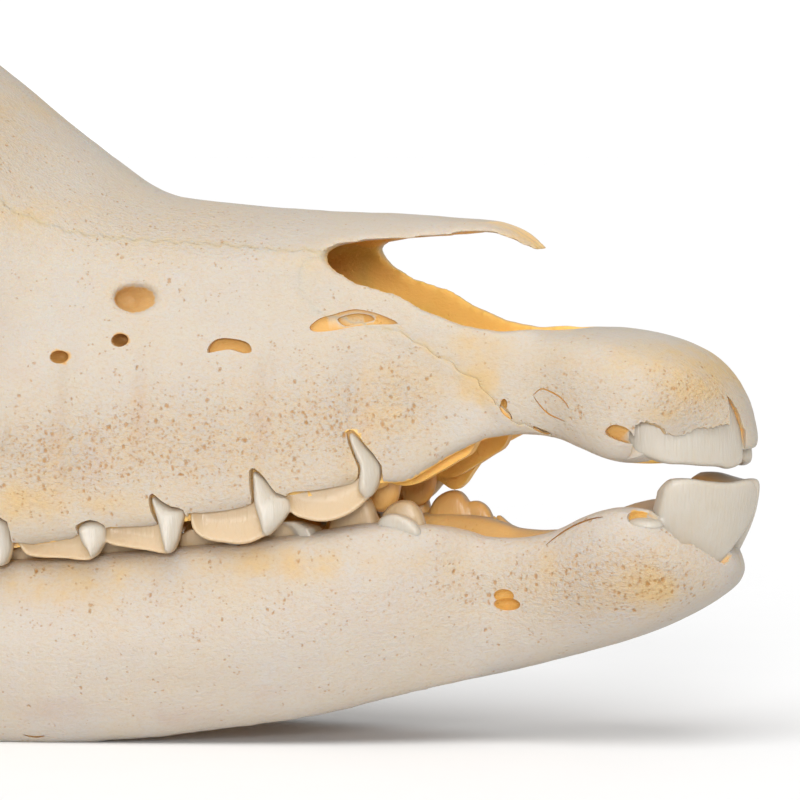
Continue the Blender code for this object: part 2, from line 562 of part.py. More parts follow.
def tooth_lobe(front, back, outer, inner, root, tip, side):
    """One lobe of a cheek tooth crown, from its root to its tip, with a ridge on its front corner."""
    levels = [(0.0, 0.3, 0.0, 0.0, -2.4, 2.6), (0.5, 0.0, 0.0, 0.0, -0.4, 1.4),
              (0.86, 1.2, 0.7, 0.25, 0.2, 0.7), (1.0, 3.6, 2.6, 0.62, 0.4, 0.3)]
    rings = []
    for share, front_in, back_in, thinned, lean, ridge in levels:
        z = root + (tip - root) * share
        a, b = front + front_in, back - back_in
        y_out = outer + lean
        y_in = inner + (y_out - inner) * thinned
        ring = [(a, y_out - 0.9), (a + 0.6, y_out + ridge), (a + 2.6, y_out + ridge * 0.8),
                (a + 4.0, y_out - 0.3), (b - 0.6, y_out), (b, y_out - 0.8), (b, y_in + 0.6),
                (b - 1.2, y_in), (a + 1.2, y_in), (a, y_in + 0.6)]
        rings.append([(u, y * side, z) for u, y in ring])
    return shell(rings)


def upper_cheek_teeth(side):
    """An outer blade and an inner cusp for each lobe of the upper milk cheek teeth."""
    gum, lower_tip, lobes = line(GUM), line(LOWER_TOPS), []
    for front, back, tip in UPPER_LOBES:
        y, z = gum((front + back) / 2)
        cusp = lower_tip((front + back) / 2)[0] + TOOTH_CLEARANCE
        lobes.append(tooth_lobe(front, back, y + 0.2, y - 3.4, z + 6.5, tip, side))
        lobes.append(tooth_lobe(front + 0.6, back - 0.4, y - 4.6, y - 13.6, z + 9, cusp, side))
    return lobes


def lower_cheek_teeth(side):
    """The lobes of the lower milk cheek teeth, which fall away forwards."""
    top, lobes = line(JAW_TOP), []
    for front, back, tip in LOWER_LOBES:
        y, z = top((front + back) / 2)[:2]
        lobes.append(tooth_lobe(front, back, y + 2.4, y - 4.6, z - 5, tip, side))
    return lobes


def incisor(root, tip, half_width, side):
    """A central incisor: a blade bowed round the front of the muzzle, closed at its tip."""
    root, tip = np.array(root), np.array(tip)
    swing = math.radians(INCISOR_SWING)
    rings = []
    for share in (0.0, 0.5, 0.88, 1.0):
        centre = root + (tip - root) * share
        wide = half_width * (0.9 + 0.1 * share)
        thick = INCISOR_THICKNESS[0] - INCISOR_THICKNESS[1] * share
        if share == 1.0:
            wide, thick = wide * 0.93, thick * 0.6
        ring = []
        for a in np.arange(14) * 2 * math.pi / 14:
            across, deep = wide * math.cos(a), thick * math.sin(a)
            bow = INCISOR_BOW * across * across - deep
            u = centre[0] + across * math.sin(swing) + bow * math.cos(swing)
            y = centre[1] + across * math.cos(swing) - bow * math.sin(swing)
            ring.append((u, max(y, 0.3) * side, centre[2]))
        rings.append(ring)
    return shell(rings)


def upper_incisor(side):
    """The central incisor of the upper jaw, curving down over the lower one."""
    return incisor((10.7, 9.0, 58), (8.7, 9.8, 46.1), UPPER_INCISOR_HALF_WIDTH, side)


def lower_incisor(side):
    """The central incisor of the lower jaw, standing up behind the upper one's edge."""
    return incisor((10.4, 6.4, 27), (6.6, 8.4, 44), LOWER_INCISOR_HALF_WIDTH, side)


def make_cranium():
    """The whole upper skull as one solid, with its teeth."""
    shells = [*face_bones(), braincase()]
    for side in SIDES:
        shells += [orbit_ring(side), *brow(side), cheek_arch(side), tuber(side)]
        shells += jaw_socket(side) + pterygoid_wall(side) + ear_region(side) + nape(side)
    cranium = fuse(body("cranium", shells), MELT_PASSES)
    cuts = passage_cuts() + brain_cuts()
    for side in SIDES:
        cuts += [socket_cut(side)] + nerve_holes(side)
    combine(cranium, cuts, "DIFFERENCE")
    combine(cranium, [prism(VOMER, -VOMER_HALF_THICKNESS, VOMER_HALF_THICKNESS)], "UNION")
    thin(fuse(cranium, SOFTEN_PASSES), CRANIUM_TRIANGLES)
    combine(cranium, bud_slots(1) + bud_slots(-1), "DIFFERENCE")
    teeth = []
    for side in SIDES:
        teeth += upper_cheek_teeth(side) + [upper_incisor(side)]
    return combine(cranium, teeth, "UNION")


def twin(made, name):
    """A copy of the object under another name."""
    copy = bpy.data.objects.new(name, made.data.copy())
    copy.data.name = name
    bpy.context.scene.collection.objects.link(copy)
    return copy


def take(rest, name, outline, low=-WIDE, high=WIDE):
    """Cuts the bone inside this outline off the rest, with a thin gap, and returns it."""
    bone = combine(twin(rest, name), [prism(outline, low, high)], "INTERSECT")
    combine(rest, [prism(grown(outline, SUTURE_GAP), low - SUTURE_GAP, high + SUTURE_GAP)],
            "DIFFERENCE")
    return largest_part(bone)


def take_pair(rest, name, outline, inner):
    """Cuts a bone off each side, leaving what lies nearer the midline than inner."""
    bones = []
    for side in SIDES:
        low, high = (inner, WIDE) if side > 0 else (-WIDE, -inner)
        label = name + ("_left" if side > 0 else "_right")
        bones.append(take(rest, label, outline, low, high))
    return bones


def split(made, name):
    """Parts an object along the midline and returns its two halves."""
    halves = []
    everywhere = [(-20, -20), (340, -20), (340, 180), (-20, 180)]
    for side in SIDES:
        low, high = (SUTURE_GAP / 2, WIDE) if side > 0 else (-WIDE, -SUTURE_GAP / 2)
        label = name + ("_left" if side > 0 else "_right")
        half = combine(twin(made, label), [prism(everywhere, low, high)], "INTERSECT")
        halves.append(largest_part(half))
    bpy.data.objects.remove(made)
    return halves


def part_cranium(cranium):
    """The separate bones of the upper skull."""
    bones = [take(cranium, "occipital", OCCIPITAL)]
    bones.append(take(cranium, "sphenoid", SPHENOID, -SPHENOID_WIDTH, SPHENOID_WIDTH))
    bones.append(take(cranium, "vomer", VOMER_ABOVE, -VOMER_CUT_HALF_WIDTH,
                      VOMER_CUT_HALF_WIDTH))
    bones += split(take(cranium, "nasal_both", NASAL), "nasal")
    bones += split(take(cranium, "incisive_both", INCISIVE), "incisive")
    bones += take_pair(cranium, "zygomatic", ZYGOMATIC, ZYGOMATIC_INNER)
    bones += split(take(cranium, "frontal_both", FRONTAL), "frontal")
    bones += split(take(cranium, "parietal_both", PARIETAL), "parietal")
    bones += take_pair(cranium, "temporal", TEMPORAL, TEMPORAL_INNER)
    bones += take_pair(cranium, "lacrimal", LACRIMAL, LACRIMAL_INNER)
    bones += split(cranium, "maxilla")
    return bones


def jaw_body(side):
    """The bar of the jaw that carries the cheek teeth."""
    top, middle, bottom = line(JAW_TOP), line(JAW_MIDDLE), line(JAW_BOTTOM)
    rings = []
    for u in np.linspace(46, 190, 34):
        (yt, zt, ht), (ym, zm, hm), (yb, zb, hb) = top(u), middle(u), bottom(u)
        outline = [(yt - ht * 0.8, zt - 0.8), (yt, zt), (yt + ht * 0.8, zt - 0.8),
                   (yt + ht * 1.05, zt - 5), (ym + hm, zm), (yb + hb, zb + 4), (yb, zb),
                   (yb - hb, zb + 4), (ym - hm, zm), (yt - ht * 1.05, zt - 5)]
        rings.append([(u, y * side, z) for y, z in rounded(outline, 3)])
    return shell(rings)


def ramus_middle(u, z):
    """How far from the midline the upright plate of the jaw stands."""
    return 36.0 + 0.10 * (u - 165) + 0.05 * (z - 30)


def jaw_ramus(side):
    """The upright plate of the jaw with its thick rear edge and the condyle."""
    edge = [(u, ramus_middle(u, z), z, 3.6, 2.6) for u, z in ANGLE_EDGE]
    condyle = tube([(229, 35.5, 78.2, 4.2, 3.0), (229.5, 41, 79.2, 5, 3.6),
                    (229.5, 47, 79.4, 5, 3.8), (229, 56, 78.4, 4.2, 3.0)], side=side)
    return [plate(RAMUS_OUTLINE, ramus_middle, RAMUS_HALF_THICKNESS, side),
            tube(edge, side=side), condyle]


def make_jaw():
    """Both halves of the lower jaw as one solid."""
    shells = [lofted([CHIN_TOP, CHIN_RIM, CHIN_SIDE, CHIN_LOW, CHIN_UNDER],
                     [3.8, 4.4, 5.2, 6.5, 8, 11, 14, 18, 22, 27, 33, 40, 48, 56])]
    for side in SIDES:
        shells += [jaw_body(side), *jaw_ramus(side)]
    jaw = thin(fuse(body("jaw", shells), MELT_PASSES), JAW_TRIANGLES)
    below = [(-20, -20), (340, -20), (340, 0), (-20, 0)]
    holes = [ball((40.6, 14.4, 25), (2.7, 3, 2), side, detail=2) for side in SIDES]
    combine(jaw, [prism(below, -WIDE, WIDE), *holes], "DIFFERENCE")
    teeth = []
    for side in SIDES:
        teeth += lower_cheek_teeth(side) + [lower_incisor(side)]
    return combine(jaw, teeth, "UNION")


def finish(bone, parent):
    """Puts the bone's origin at its middle, hangs it on the parent and gives it its material."""
    corners = np.array([corner[:] for corner in bone.bound_box])
    middle = Vector((corners.min(axis=0) + corners.max(axis=0)) / 2)
    bone.data.transform(Matrix.Translation(-middle))
    bone.location, bone.parent = middle, parent
    bone.data.shade_smooth()
    material = bpy.data.materials.new(bone.name)
    material.use_nodes = True
    shader = material.node_tree.nodes["Principled BSDF"]
    colour = BONE_COLOURS.get(bone.name.rsplit("_", 1)[0], BONE_COLOURS["default"])
    shader.inputs["Base Color"].default_value = (*colour, 1.0)
    shader.inputs["Roughness"].default_value = BONE_ROUGHNESS
    shader.inputs["Metallic"].default_value = 0.0
    bone.data.materials.clear()
    bone.data.materials.append(material)


def main():
    """Models every bone and hangs it on the skull or on the lower jaw."""
    for old in list(bpy.data.objects):
        bpy.data.objects.remove(old)
    skull = bpy.data.objects.new("skull", None)
    lower_jaw = bpy.data.objects.new("lower_jaw", None)
    for empty in (skull, lower_jaw):
        bpy.context.scene.collection.objects.link(empty)
    lower_jaw.parent = skull
    for bone in part_cranium(make_cranium()):
        finish(bone, skull)
    for bone in split(make_jaw(), "mandible"):
        finish(bone, lower_jaw)


if __name__ == "__main__":
    main()
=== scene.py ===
"""The skull of a newborn foal, dressed for a studio photograph.

Places on the skull are in millimetres: u is the distance behind the front of the incisors, y the
distance from the midline (left is positive) and z the height above the floor. Each bone stands
for the bone of the same name in the frame, and the milk teeth are pieces of their own.
"""

import itertools
import json
import math

import bmesh
import bpy
import numpy as np
from bpy.props import FloatProperty, FloatVectorProperty, IntProperty, PointerProperty
from bpy.types import Operator, Panel, PropertyGroup
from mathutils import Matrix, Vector

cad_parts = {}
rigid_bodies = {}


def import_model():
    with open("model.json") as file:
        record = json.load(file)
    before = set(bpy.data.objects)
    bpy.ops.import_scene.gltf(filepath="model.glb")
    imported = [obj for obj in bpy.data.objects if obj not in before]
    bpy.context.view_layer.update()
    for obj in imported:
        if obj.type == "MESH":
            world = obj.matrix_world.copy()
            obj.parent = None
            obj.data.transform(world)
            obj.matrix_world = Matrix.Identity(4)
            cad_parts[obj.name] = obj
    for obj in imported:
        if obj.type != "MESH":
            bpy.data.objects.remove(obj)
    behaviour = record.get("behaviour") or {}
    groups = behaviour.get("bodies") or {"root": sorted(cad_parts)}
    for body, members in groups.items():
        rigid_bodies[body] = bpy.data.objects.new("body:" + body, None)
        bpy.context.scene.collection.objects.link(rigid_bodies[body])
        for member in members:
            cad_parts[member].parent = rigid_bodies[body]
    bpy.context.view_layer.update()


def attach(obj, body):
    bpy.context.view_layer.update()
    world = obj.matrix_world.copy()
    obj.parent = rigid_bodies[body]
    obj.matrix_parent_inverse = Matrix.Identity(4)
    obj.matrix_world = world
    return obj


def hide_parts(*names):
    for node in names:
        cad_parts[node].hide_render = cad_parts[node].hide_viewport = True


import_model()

bl_info = {
    "name": "Foal Skull",
    "version": (1, 0, 0),
    "blender": (4, 5, 0),
    "location": "3D View > Sidebar > Skull",
    "description": "Models the bones and milk teeth of a newborn foal's skull for a studio picture",
    "category": "Add Mesh",
}

MM = 0.001
MIDDLE_U = 156.1    # the u that stands at x = 0 in the frame
SIDES = (1, -1)     # left and right
WIDE = 90.0         # past the skull's widest place, as far from the midline as any cut reaches
FIRST_MESH = 0.001  # the edge length in metres at which rough shells are melted together

# Long lines of the face: each knot is u, y, z, from the tip of the nose back to the orbit.
NOSE_CROWN = [(36, 80.2), (38, 81.6), (41, 83.9), (44, 85.5), (48, 86.2), (57, 87.0), (80, 88.0),
              (94, 89.2), (102, 90.2), (106, 91.5), (114.6, 97.2), (123.3, 103.4), (132, 109.8),
              (145, 119.0), (158, 127.4), (172, 135.2)]
NOSE_EDGE = [(36, 3, 79.6), (41, 6, 83.2), (48, 9.5, 84.6), (57, 12, 83.6), (65, 14.5, 82.6),
             (72, 17, 81.6), (85, 18.5, 81.6), (100, 20.5, 82.6), (115, 24, 87), (130, 29.5, 97),
             (145, 35, 107), (160, 40, 115), (172, 42, 120)]
CHEEK = [(36, 12.5, 67), (48, 14.5, 71.5), (60, 17, 71), (72, 20, 70), (85, 23, 69.5),
         (100, 27, 68.5), (115, 32, 69), (130, 38.5, 75), (145, 44.5, 84), (160, 48, 94),
         (172, 49, 98)]
CREST = [(36, 13.5, 60), (48, 15.5, 59), (60, 19.5, 57.5), (72, 23.5, 56), (85, 27.5, 54.5),
         (100, 31.5, 53), (115, 36, 52), (130, 43, 54.5), (145, 49.5, 61), (160, 53.5, 67),
         (172, 54, 71)]
GUM = [(36, 12.5, 52.6), (40, 13.5, 51.8), (43, 14.4, 51), (47.5, 15.6, 49), (52, 17.5, 46.4),
       (56, 19.6, 43.8), (60, 22, 44), (73, 26.5, 41), (91, 31, 37.4), (105, 33.5, 35),
       (120, 35.5, 32.8), (135, 37, 31.6), (150, 37.5, 31.2), (160, 35.5, 34.5), (168, 32, 41),
       (172, 30, 46)]
GUM_INNER = [(36, 7, 55), (47, 9, 51), (57, 10, 46.5), (73, 11.5, 44.5), (91, 13.5, 41.8),
             (105, 15.5, 40), (120, 17, 38.2), (150, 19, 36.6), (160, 19, 38.5), (172, 18, 48)]
PALATE_SIDE = [(36, 4, 57), (57, 5, 53.6), (73, 6, 51), (91, 7, 48), (120, 9, 44.6),
               (150, 10, 44), (172, 10, 52)]
PALATE = [(36, 57.5), (57, 54.4), (73, 52), (91, 50), (120, 47.4), (150, 46), (172, 53)]

# Lines of the braincase, from between the orbits back to the nape.
SKULL_CROWN = [(146, 115), (158, 126.4), (172, 135.6), (190, 142.6), (210, 147.8), (230, 149.4),
               (250, 147.2), (268, 140.4), (282, 131), (293, 120.5), (299, 111)]
DOME = [(146, 20, 111), (165, 26, 126), (185, 30, 133), (205, 33, 137), (225, 35.5, 138),
        (245, 35.5, 135), (262, 33.5, 130), (278, 29.5, 123), (292, 24, 113), (299, 18, 106)]
TEMPLE = [(146, 25, 100), (165, 26, 104), (185, 29.5, 108), (205, 37, 109), (225, 42.5, 108),
          (245, 44.5, 106), (262, 43.5, 104), (278, 39.5, 101), (292, 32, 98), (299, 23, 97)]
FLANK = [(146, 22, 78), (165, 20, 82), (185, 21, 86), (205, 29, 88), (225, 37, 88.5),
         (245, 39.5, 88.5), (262, 38.5, 88.5), (278, 33, 88), (292, 26, 87.5), (299, 19, 88)]
BASE_SIDE = [(146, 13, 62), (165, 11, 67), (185, 11, 73), (205, 14, 78), (225, 17, 79.5),
             (245, 17, 80.5), (262, 15, 81.5), (278, 13, 83), (292, 12, 85), (299, 10, 86)]
BASE = [(146, 60), (165, 65.5), (185, 72), (205, 76.5), (225, 78), (245, 79), (262, 80),
        (278, 81.8), (292, 84), (299, 85.5)]

# The nasal passage inside the face.
PASSAGE_ROOF = [(30, 80.5), (38, 80.4), (44, 84.0), (48, 84.6), (57, 85.4), (80, 86.0),
                (100, 86.6), (112, 88), (130, 90), (152, 88)]
PASSAGE_ROOF_SIDE = [(30, 6, 79), (41, 6.5, 81.8), (48, 9.5, 83.0), (57, 12, 82.0),
                     (65, 13.4, 81), (72, 14.5, 79.6), (85, 15.5, 79.4), (100, 16.5, 79.8),
                     (130, 17, 82), (152, 14, 80)]
PASSAGE_SIDE = [(30, 7, 70), (48, 12.2, 69), (60, 15.1, 68), (72, 17.8, 67), (85, 19.4, 66.4),
                (100, 19.6, 66), (130, 18, 66), (152, 14, 66)]
PASSAGE_FLOOR_SIDE = [(30, 5, 69.5), (40, 8.5, 64), (52, 10, 60), (72, 12, 57.5),
                      (100, 13, 55), (130, 12, 53), (152, 9, 52)]
PASSAGE_FLOOR = [(30, 69), (40, 63), (52, 59), (72, 57), (100, 54.5), (130, 52), (152, 51)]

# The incisive body that carries the upper incisors, and the chin that carries the lower ones.
MUZZLE_TOP = [(1.2, 50.5), (2.2, 54), (4, 58.2), (6.6, 61.8), (10, 64.8), (14, 66.6), (19, 68),
              (27, 68.8), (36, 68.6), (46, 66.5)]
MUZZLE_SHOULDER = [(1.2, 2, 50), (4, 6, 57), (10, 11.5, 62.6), (19, 14, 65.4), (27, 13.5, 67),
                   (36, 12, 67.4), (46, 13, 66)]
MUZZLE_SIDE = [(1.2, 2.6, 49.6), (4, 7.8, 54), (10, 14.2, 57.4), (19, 18.4, 58), (27, 17.4, 59.5),
               (36, 14.6, 60.5), (46, 14.6, 60)]
MUZZLE_LIP = [(1.2, 2.0, 49.4), (4, 7.2, 52.6), (10, 12.8, 53), (16, 16.2, 51.6),
              (20.6, 17.2, 48.6), (27.3, 15.4, 50.2), (33, 13.2, 51.4), (46, 13.6, 50.5)]
MUZZLE_UNDER_SIDE = [(1.2, 1.6, 48.8), (4, 4.6, 49), (10, 8, 47.4), (20, 11, 46.8),
                     (27, 9.5, 49), (36, 6.5, 53.5), (46, 6, 56)]
MUZZLE_UNDER = [(1.2, 48.8), (4, 49), (10, 47.6), (20, 47.4), (27, 50), (36, 55), (46, 57)]

CHIN_TOP = [(3.8, 30.5), (5, 32.5), (8, 36), (14, 39), (22, 38), (30, 34.5), (40, 31), (56, 28.5)]
CHIN_RIM = [(3.8, 2.5, 30.2), (5, 6, 31), (8, 10, 33.5), (14, 13.6, 37), (20, 14.6, 39.6),
            (27, 13.4, 38.2), (33, 11.8, 35.4), (40, 11.5, 34.4), (48, 12.5, 35), (56, 15, 35.8)]
CHIN_SIDE = [(3.8, 3.2, 29.4), (5, 7, 29), (8, 11.6, 29.6), (14, 15.6, 30.6), (22, 16.6, 29.6),
             (30, 15.2, 27), (40, 14, 25), (48, 15.4, 23.5), (56, 18, 22)]
CHIN_LOW = [(3.8, 2.4, 28.6), (5, 5.4, 27), (8, 8, 25.2), (14, 10.4, 22), (22, 10.6, 18.8),
            (30, 9.6, 16.4), (40, 9.6, 13.8), (48, 11.4, 11.8), (56, 14.5, 10.4)]
CHIN_UNDER = [(3.8, 28.4), (5, 26.6), (8, 24.2), (14, 20.8), (22, 17.4), (33, 14.2), (44.6, 11.4),
              (56, 9.6)]

# The body of each half of the jaw: u, y, z and half the thickness at that edge.
JAW_TOP = [(46, 10.5, 35.2, 3.4), (52, 12.8, 36.4, 4.6), (60, 15.2, 36.8, 5.4),
           (75, 18.6, 34.8, 6), (90, 21.4, 33, 6.2), (105, 23.8, 31.6, 6.4), (120, 26, 30.4, 6.4),
           (140, 29.2, 29, 6), (155, 32, 29.6, 5), (170, 35.2, 33, 3.6), (190, 39, 44, 2)]
JAW_MIDDLE = [(46, 10, 23, 5.2), (60, 14.6, 21.5, 7), (75, 18.6, 19.5, 8), (105, 24.4, 16.5, 8.4),
              (140, 30.4, 15, 7.8), (155, 33, 15, 6.6), (170, 35.8, 17, 4.8), (190, 38.6, 24, 2)]
JAW_BOTTOM = [(46, 9.5, 10.8, 3.2), (60, 13.8, 7.4, 4.2), (71, 16.8, 4.6, 4.6),
              (88, 20.4, 2, 4.8), (100, 22.8, 0.5, 4.8), (115, 25.6, -0.5, 4.6),
              (150, 32, -0.5, 4.2), (162, 34.4, 0.4, 3.8), (176, 36.4, 1.2, 3),
              (190, 37.8, 1.4, 2)]
RAMUS_OUTLINE = [(150, 2), (165, 1.2), (178, 1.4), (192, -0.6), (204, -0.6), (217, 3.5),
                 (229, 14), (235.5, 29), (235.5, 45), (233.5, 60), (234.5, 72), (231, 79),
                 (225, 78), (219, 75.5), (213, 80), (211.5, 92), (212.5, 103), (208.5, 105),
                 (203, 97), (199, 84), (193.5, 66), (186, 48), (176, 35), (162, 29), (150, 27)]
ANGLE_EDGE = [(186, 2.6), (198, 1.8), (210, 3.4), (222, 10), (231, 22), (233, 36), (232.4, 50),
              (231, 62), (231, 72)]

# The notch between the nasal bones and the incisive bones, seen from the side.
NOTCH = [(10, 82.4), (38, 81.2), (41, 82.9), (44, 84.2), (48, 84.5), (53, 83.5), (59, 83.3),
         (65, 82.8), (69, 82.2), (70.8, 81), (70.2, 79.6), (68.8, 78.2), (65, 76.2), (58, 74.2),
         (54, 71.8), (47.5, 69.2), (41.5, 68.2), (36, 68.6), (10, 68.6)]

# Outlines of the bones, seen from the side, that the thin cuts follow.
OCCIPITAL = [(291, 150), (285.5, 132), (281, 122), (277, 110), (275, 99), (270, 93), (264, 91),
             (263, 60), (275, 40), (340, 40), (340, 150)]
SPHENOID = [(151, 20), (150, 40), (147, 53), (134, 58), (134, 92), (143, 100), (158, 103),
            (176, 98), (192, 94), (212, 96), (240, 97), (268, 97), (268, 20)]
SPHENOID_WIDTH = 20.0
NASAL = [(72.6, 81.4), (77, 81.3), (86.5, 82.2), (95, 82.6), (105, 83.3), (113, 84.6), (121, 88),
         (128, 95), (133, 104), (136, 112), (138, 125), (138, 170), (10, 170), (10, 79.4),
         (45, 80.2), (66, 80.8)]
INCISIVE = [(31, 38), (32.6, 51.5), (38.9, 53.8), (44.8, 60.2), (50, 63.7), (57.8, 68.4),
            (65.2, 69.6), (71, 71.5), (74, 75.5), (73.4, 79.6), (71.6, 80.5), (66, 79.6),
            (55, 79), (45, 78.4), (10, 77), (-10, 77), (-10, 38)]
FRONTAL = [(128, 95.4), (137, 103), (147, 110), (158, 117), (168, 108), (180, 98), (192, 93),
           (196, 88), (207, 88), (211, 100), (214, 116), (216, 132), (214, 170), (120, 170)]
PARIETAL = [(205, 119), (216, 120.6), (232, 121), (250, 118), (264, 112), (276, 104), (290, 112),
            (300, 170), (205, 170)]
TEMPORAL = [(205.5, 40), (205.5, 130), (300, 130), (300, 40)]
LACRIMAL = [(124, 91), (126.5, 85.5), (136, 79.5), (147, 77), (158, 80), (171, 84), (171, 112),
            (150, 130), (120, 130)]
ZYGOMATIC = [(138, 46), (136.5, 60), (141, 70), (148, 78), (158, 82), (171, 90), (215, 100),
             (215, 40), (171, 40), (160, 50)]
ZYGOMATIC_INNER = 37.0
LACRIMAL_INNER = 16.0
VOMER = [(64, 55), (68, 62), (76, 67), (130, 66), (134, 50), (64, 50)]
VOMER_ABOVE = [(62, 59.5), (131, 59.5), (131, 72), (62, 72)]
VOMER_WIDTH = 1.4
VOMER_HALF = 0.9

# The order in which bones are cut from the whole: outline from the side, how near to and how far
# from the midline the cut reaches, and whether the bone is parted on the midline.
BONES = [("occipital", OCCIPITAL, 0, WIDE, False), ("sphenoid", SPHENOID, 0, SPHENOID_WIDTH, False),
         ("vomer", VOMER_ABOVE, 0, VOMER_WIDTH, False), ("nasal", NASAL, 0, WIDE, True),
         ("incisive", INCISIVE, 0, WIDE, True),
         ("zygomatic", ZYGOMATIC, ZYGOMATIC_INNER, WIDE, True),
         ("frontal", FRONTAL, 0, WIDE, True), ("parietal", PARIETAL, 0, WIDE, True),
         ("temporal", TEMPORAL, 0, WIDE, True),
         ("lacrimal", LACRIMAL, LACRIMAL_INNER, WIDE, True), ("maxilla", None, 0, WIDE, True)]


# Lines and noise.

def line(knots):
    """A smooth line through knots (u, value, ...) that doesn't overshoot between them."""
    table = np.array(knots, float)
    where, values = table[:, 0], table[:, 1:]
    step = np.diff(where)[:, None]
    slope = np.diff(values, axis=0) / step
    tangent = np.zeros_like(values)
    tangent[0], tangent[-1] = slope[0], slope[-1]
    before, after = slope[:-1], slope[1:]
    agree = before * after > 0
    total = np.where(agree, before + after, 1.0)
    tangent[1:-1] = np.where(agree, 2 * before * after / total, 0.0)

    def at(u):
        u = min(max(u, where[0]), where[-1])
        i = min(int(np.searchsorted(where, u, side="right")) - 1, len(where) - 2)
        h = where[i + 1] - where[i]
        t = (u - where[i]) / h
        return ((1 + 2 * t) * (1 - t) ** 2 * values[i] + t * (1 - t) ** 2 * h * tangent[i]
                + t * t * (3 - 2 * t) * values[i + 1] + t * t * (t - 1) * h * tangent[i + 1])

    return at


def rounded(points, per_span=4, closed=True):
    """A smooth curve through points, which may be of any dimension."""
    points = np.array(points, float)
    count = len(points)
    gaps = np.linalg.norm(np.roll(points, -1, axis=0) - points, axis=1) ** 0.5
    curve = []
    for i in range(count if closed else count - 1):
        a, b = points[i], points[(i + 1) % count]
        h = gaps[i]
        before = points[i - 1] if closed or i else a
        after = points[(i + 2) % count] if closed or i + 2 < count else b
        gap_before = gaps[i - 1] if closed or i else h
        gap_after = gaps[(i + 1) % count] if closed or i + 2 < count else h
        start = (b - before) / (h + gap_before) * h
        end = (after - a) / (h + gap_after) * h
        for t in np.arange(per_span) / per_span:
            curve.append((1 + 2 * t) * (1 - t) ** 2 * a + t * (1 - t) ** 2 * start
                         + t * t * (3 - 2 * t) * b + t * t * (t - 1) * end)
    if not closed:
        curve.append(points[-1])
    return np.array(curve)


def between(knots, where, column):
    """The value in one column of a table of knots, at places along its first column."""
    return np.interp(where, [k[0] for k in knots], [k[column] for k in knots])


def headings(path):
    """The direction of a path at each of its points."""
    along = np.gradient(path, axis=0)
    return along / np.linalg.norm(along, axis=1)[:, None]


def circle(count):
    """Evenly spaced angles once around."""
    return np.arange(count) * 2 * math.pi / count


def smooth_step(values, low, high):
    """0 up to low, 1 from high on, and a smooth rise between them."""
    t = np.clip((values - low) / (high - low), 0.0, 1.0)
    return t * t * (3 - 2 * t)


def plateau(values, rise, fall):
    """A smooth rise from 0 to 1 between the two levels of rise, and back to 0 at fall."""
    return smooth_step(values, *rise) * (1 - smooth_step(values, *fall))


def within(values, low, high):
    """Which of the values lie between the two."""
    return (values > low) & (values < high)


def spots(places, table):
    """A sum of soft spots, each with its centre (u, z), radii and strength."""
    total = np.zeros(len(places))
    for centre, radii, strength in table:
        away = (((places[:, 0] - centre[0]) / radii[0]) ** 2
                + ((places[:, 2] - centre[1]) / radii[1]) ** 2)
        total += strength * np.exp(-1.4 * away)
    return total


def lattice(corner, seed):
    """A repeatable value from -1 to 1 for each whole-number place."""
    n = corner.astype(np.int64)
    mixed = (n[:, 0] * 73856093) ^ (n[:, 1] * 19349663) ^ (n[:, 2] * 83492791) ^ (seed * 26544357)
    mixed &= 0xFFFFFFFF
    mixed = ((mixed ^ (mixed >> 15)) * 2246822519) & 0xFFFFFFFF
    mixed = ((mixed ^ (mixed >> 13)) * 3266489917) & 0xFFFFFFFF
    mixed ^= mixed >> 16
    return mixed / 2147483647.5 - 1.0


def lumps(places, size, seed):
    """Smooth noise from -1 to 1, with lumps of about that size in millimetres."""
    scaled = places / size
    low = np.floor(scaled)
    t = scaled - low
    t = t * t * (3 - 2 * t)
    total = np.zeros(len(places))
    for corner in itertools.product((0, 1), repeat=3):
        weight = np.ones(len(places))
        for axis in range(3):
            weight *= t[:, axis] if corner[axis] else 1 - t[:, axis]
        total += weight * lattice(low + corner, seed)
    return total


def wander(u, z):
    """How far a suture strays from its plain line at (u, z)."""
    return (0.22 * np.sin(1.7 * z + 0.4 * u) + 0.12 * np.sin(3.3 * z - 0.9 * u),
            0.22 * np.sin(1.9 * u - 0.5 * z) + 0.12 * np.sin(3.7 * u + 1.1 * z))


def straight(places):
    """The (u, z) of places on the plain outlines, where the sutures don't stray."""
    du, dz = wander(places[:, 0], places[:, 2])
    return places[:, 0] + du, places[:, 2] + dz


def stray(outline):
    """A plain outline as the wandering line of a real suture."""
    points = []
    for a, b in zip(outline, outline[1:] + outline[:1]):
        a, b = np.array(a, float), np.array(b, float)
        steps = max(1, int(np.linalg.norm(b - a) / 0.8))
        for t in np.arange(steps) / steps:
            u, z = a + (b - a) * t
            du, dz = wander(u, z)
            points.append((u - du, z - dz))
    return points


def to_segments(u, z, outline, closed=True):
    """The distance of each (u, z) from a line of straight pieces."""
    best = np.full(len(u), 1e9)
    ends = list(zip(outline, outline[1:] + (outline[:1] if closed else [])))
    for (au, az), (bu, bz) in ends:
        du, dz = bu - au, bz - az
        t = np.clip(((u - au) * du + (z - az) * dz) / (du * du + dz * dz), 0, 1)
        best = np.minimum(best, np.hypot(u - au - t * du, z - az - t * dz))
    return best


# Objects.

def pick(*objects):
    """Selects only these objects and makes the first one active."""
    bpy.ops.object.select_all(action="DESELECT")
    for item in objects:
        item.select_set(True)
    bpy.context.view_layer.objects.active = objects[0]


def edit(made, *steps):
    """Runs each step in edit mode, with the whole mesh selected."""
    pick(made)
    bpy.ops.object.mode_set(mode="EDIT")
    for step in steps:
        bpy.ops.mesh.select_all(action="SELECT")
        step()
    bpy.ops.object.mode_set(mode="OBJECT")
    return made


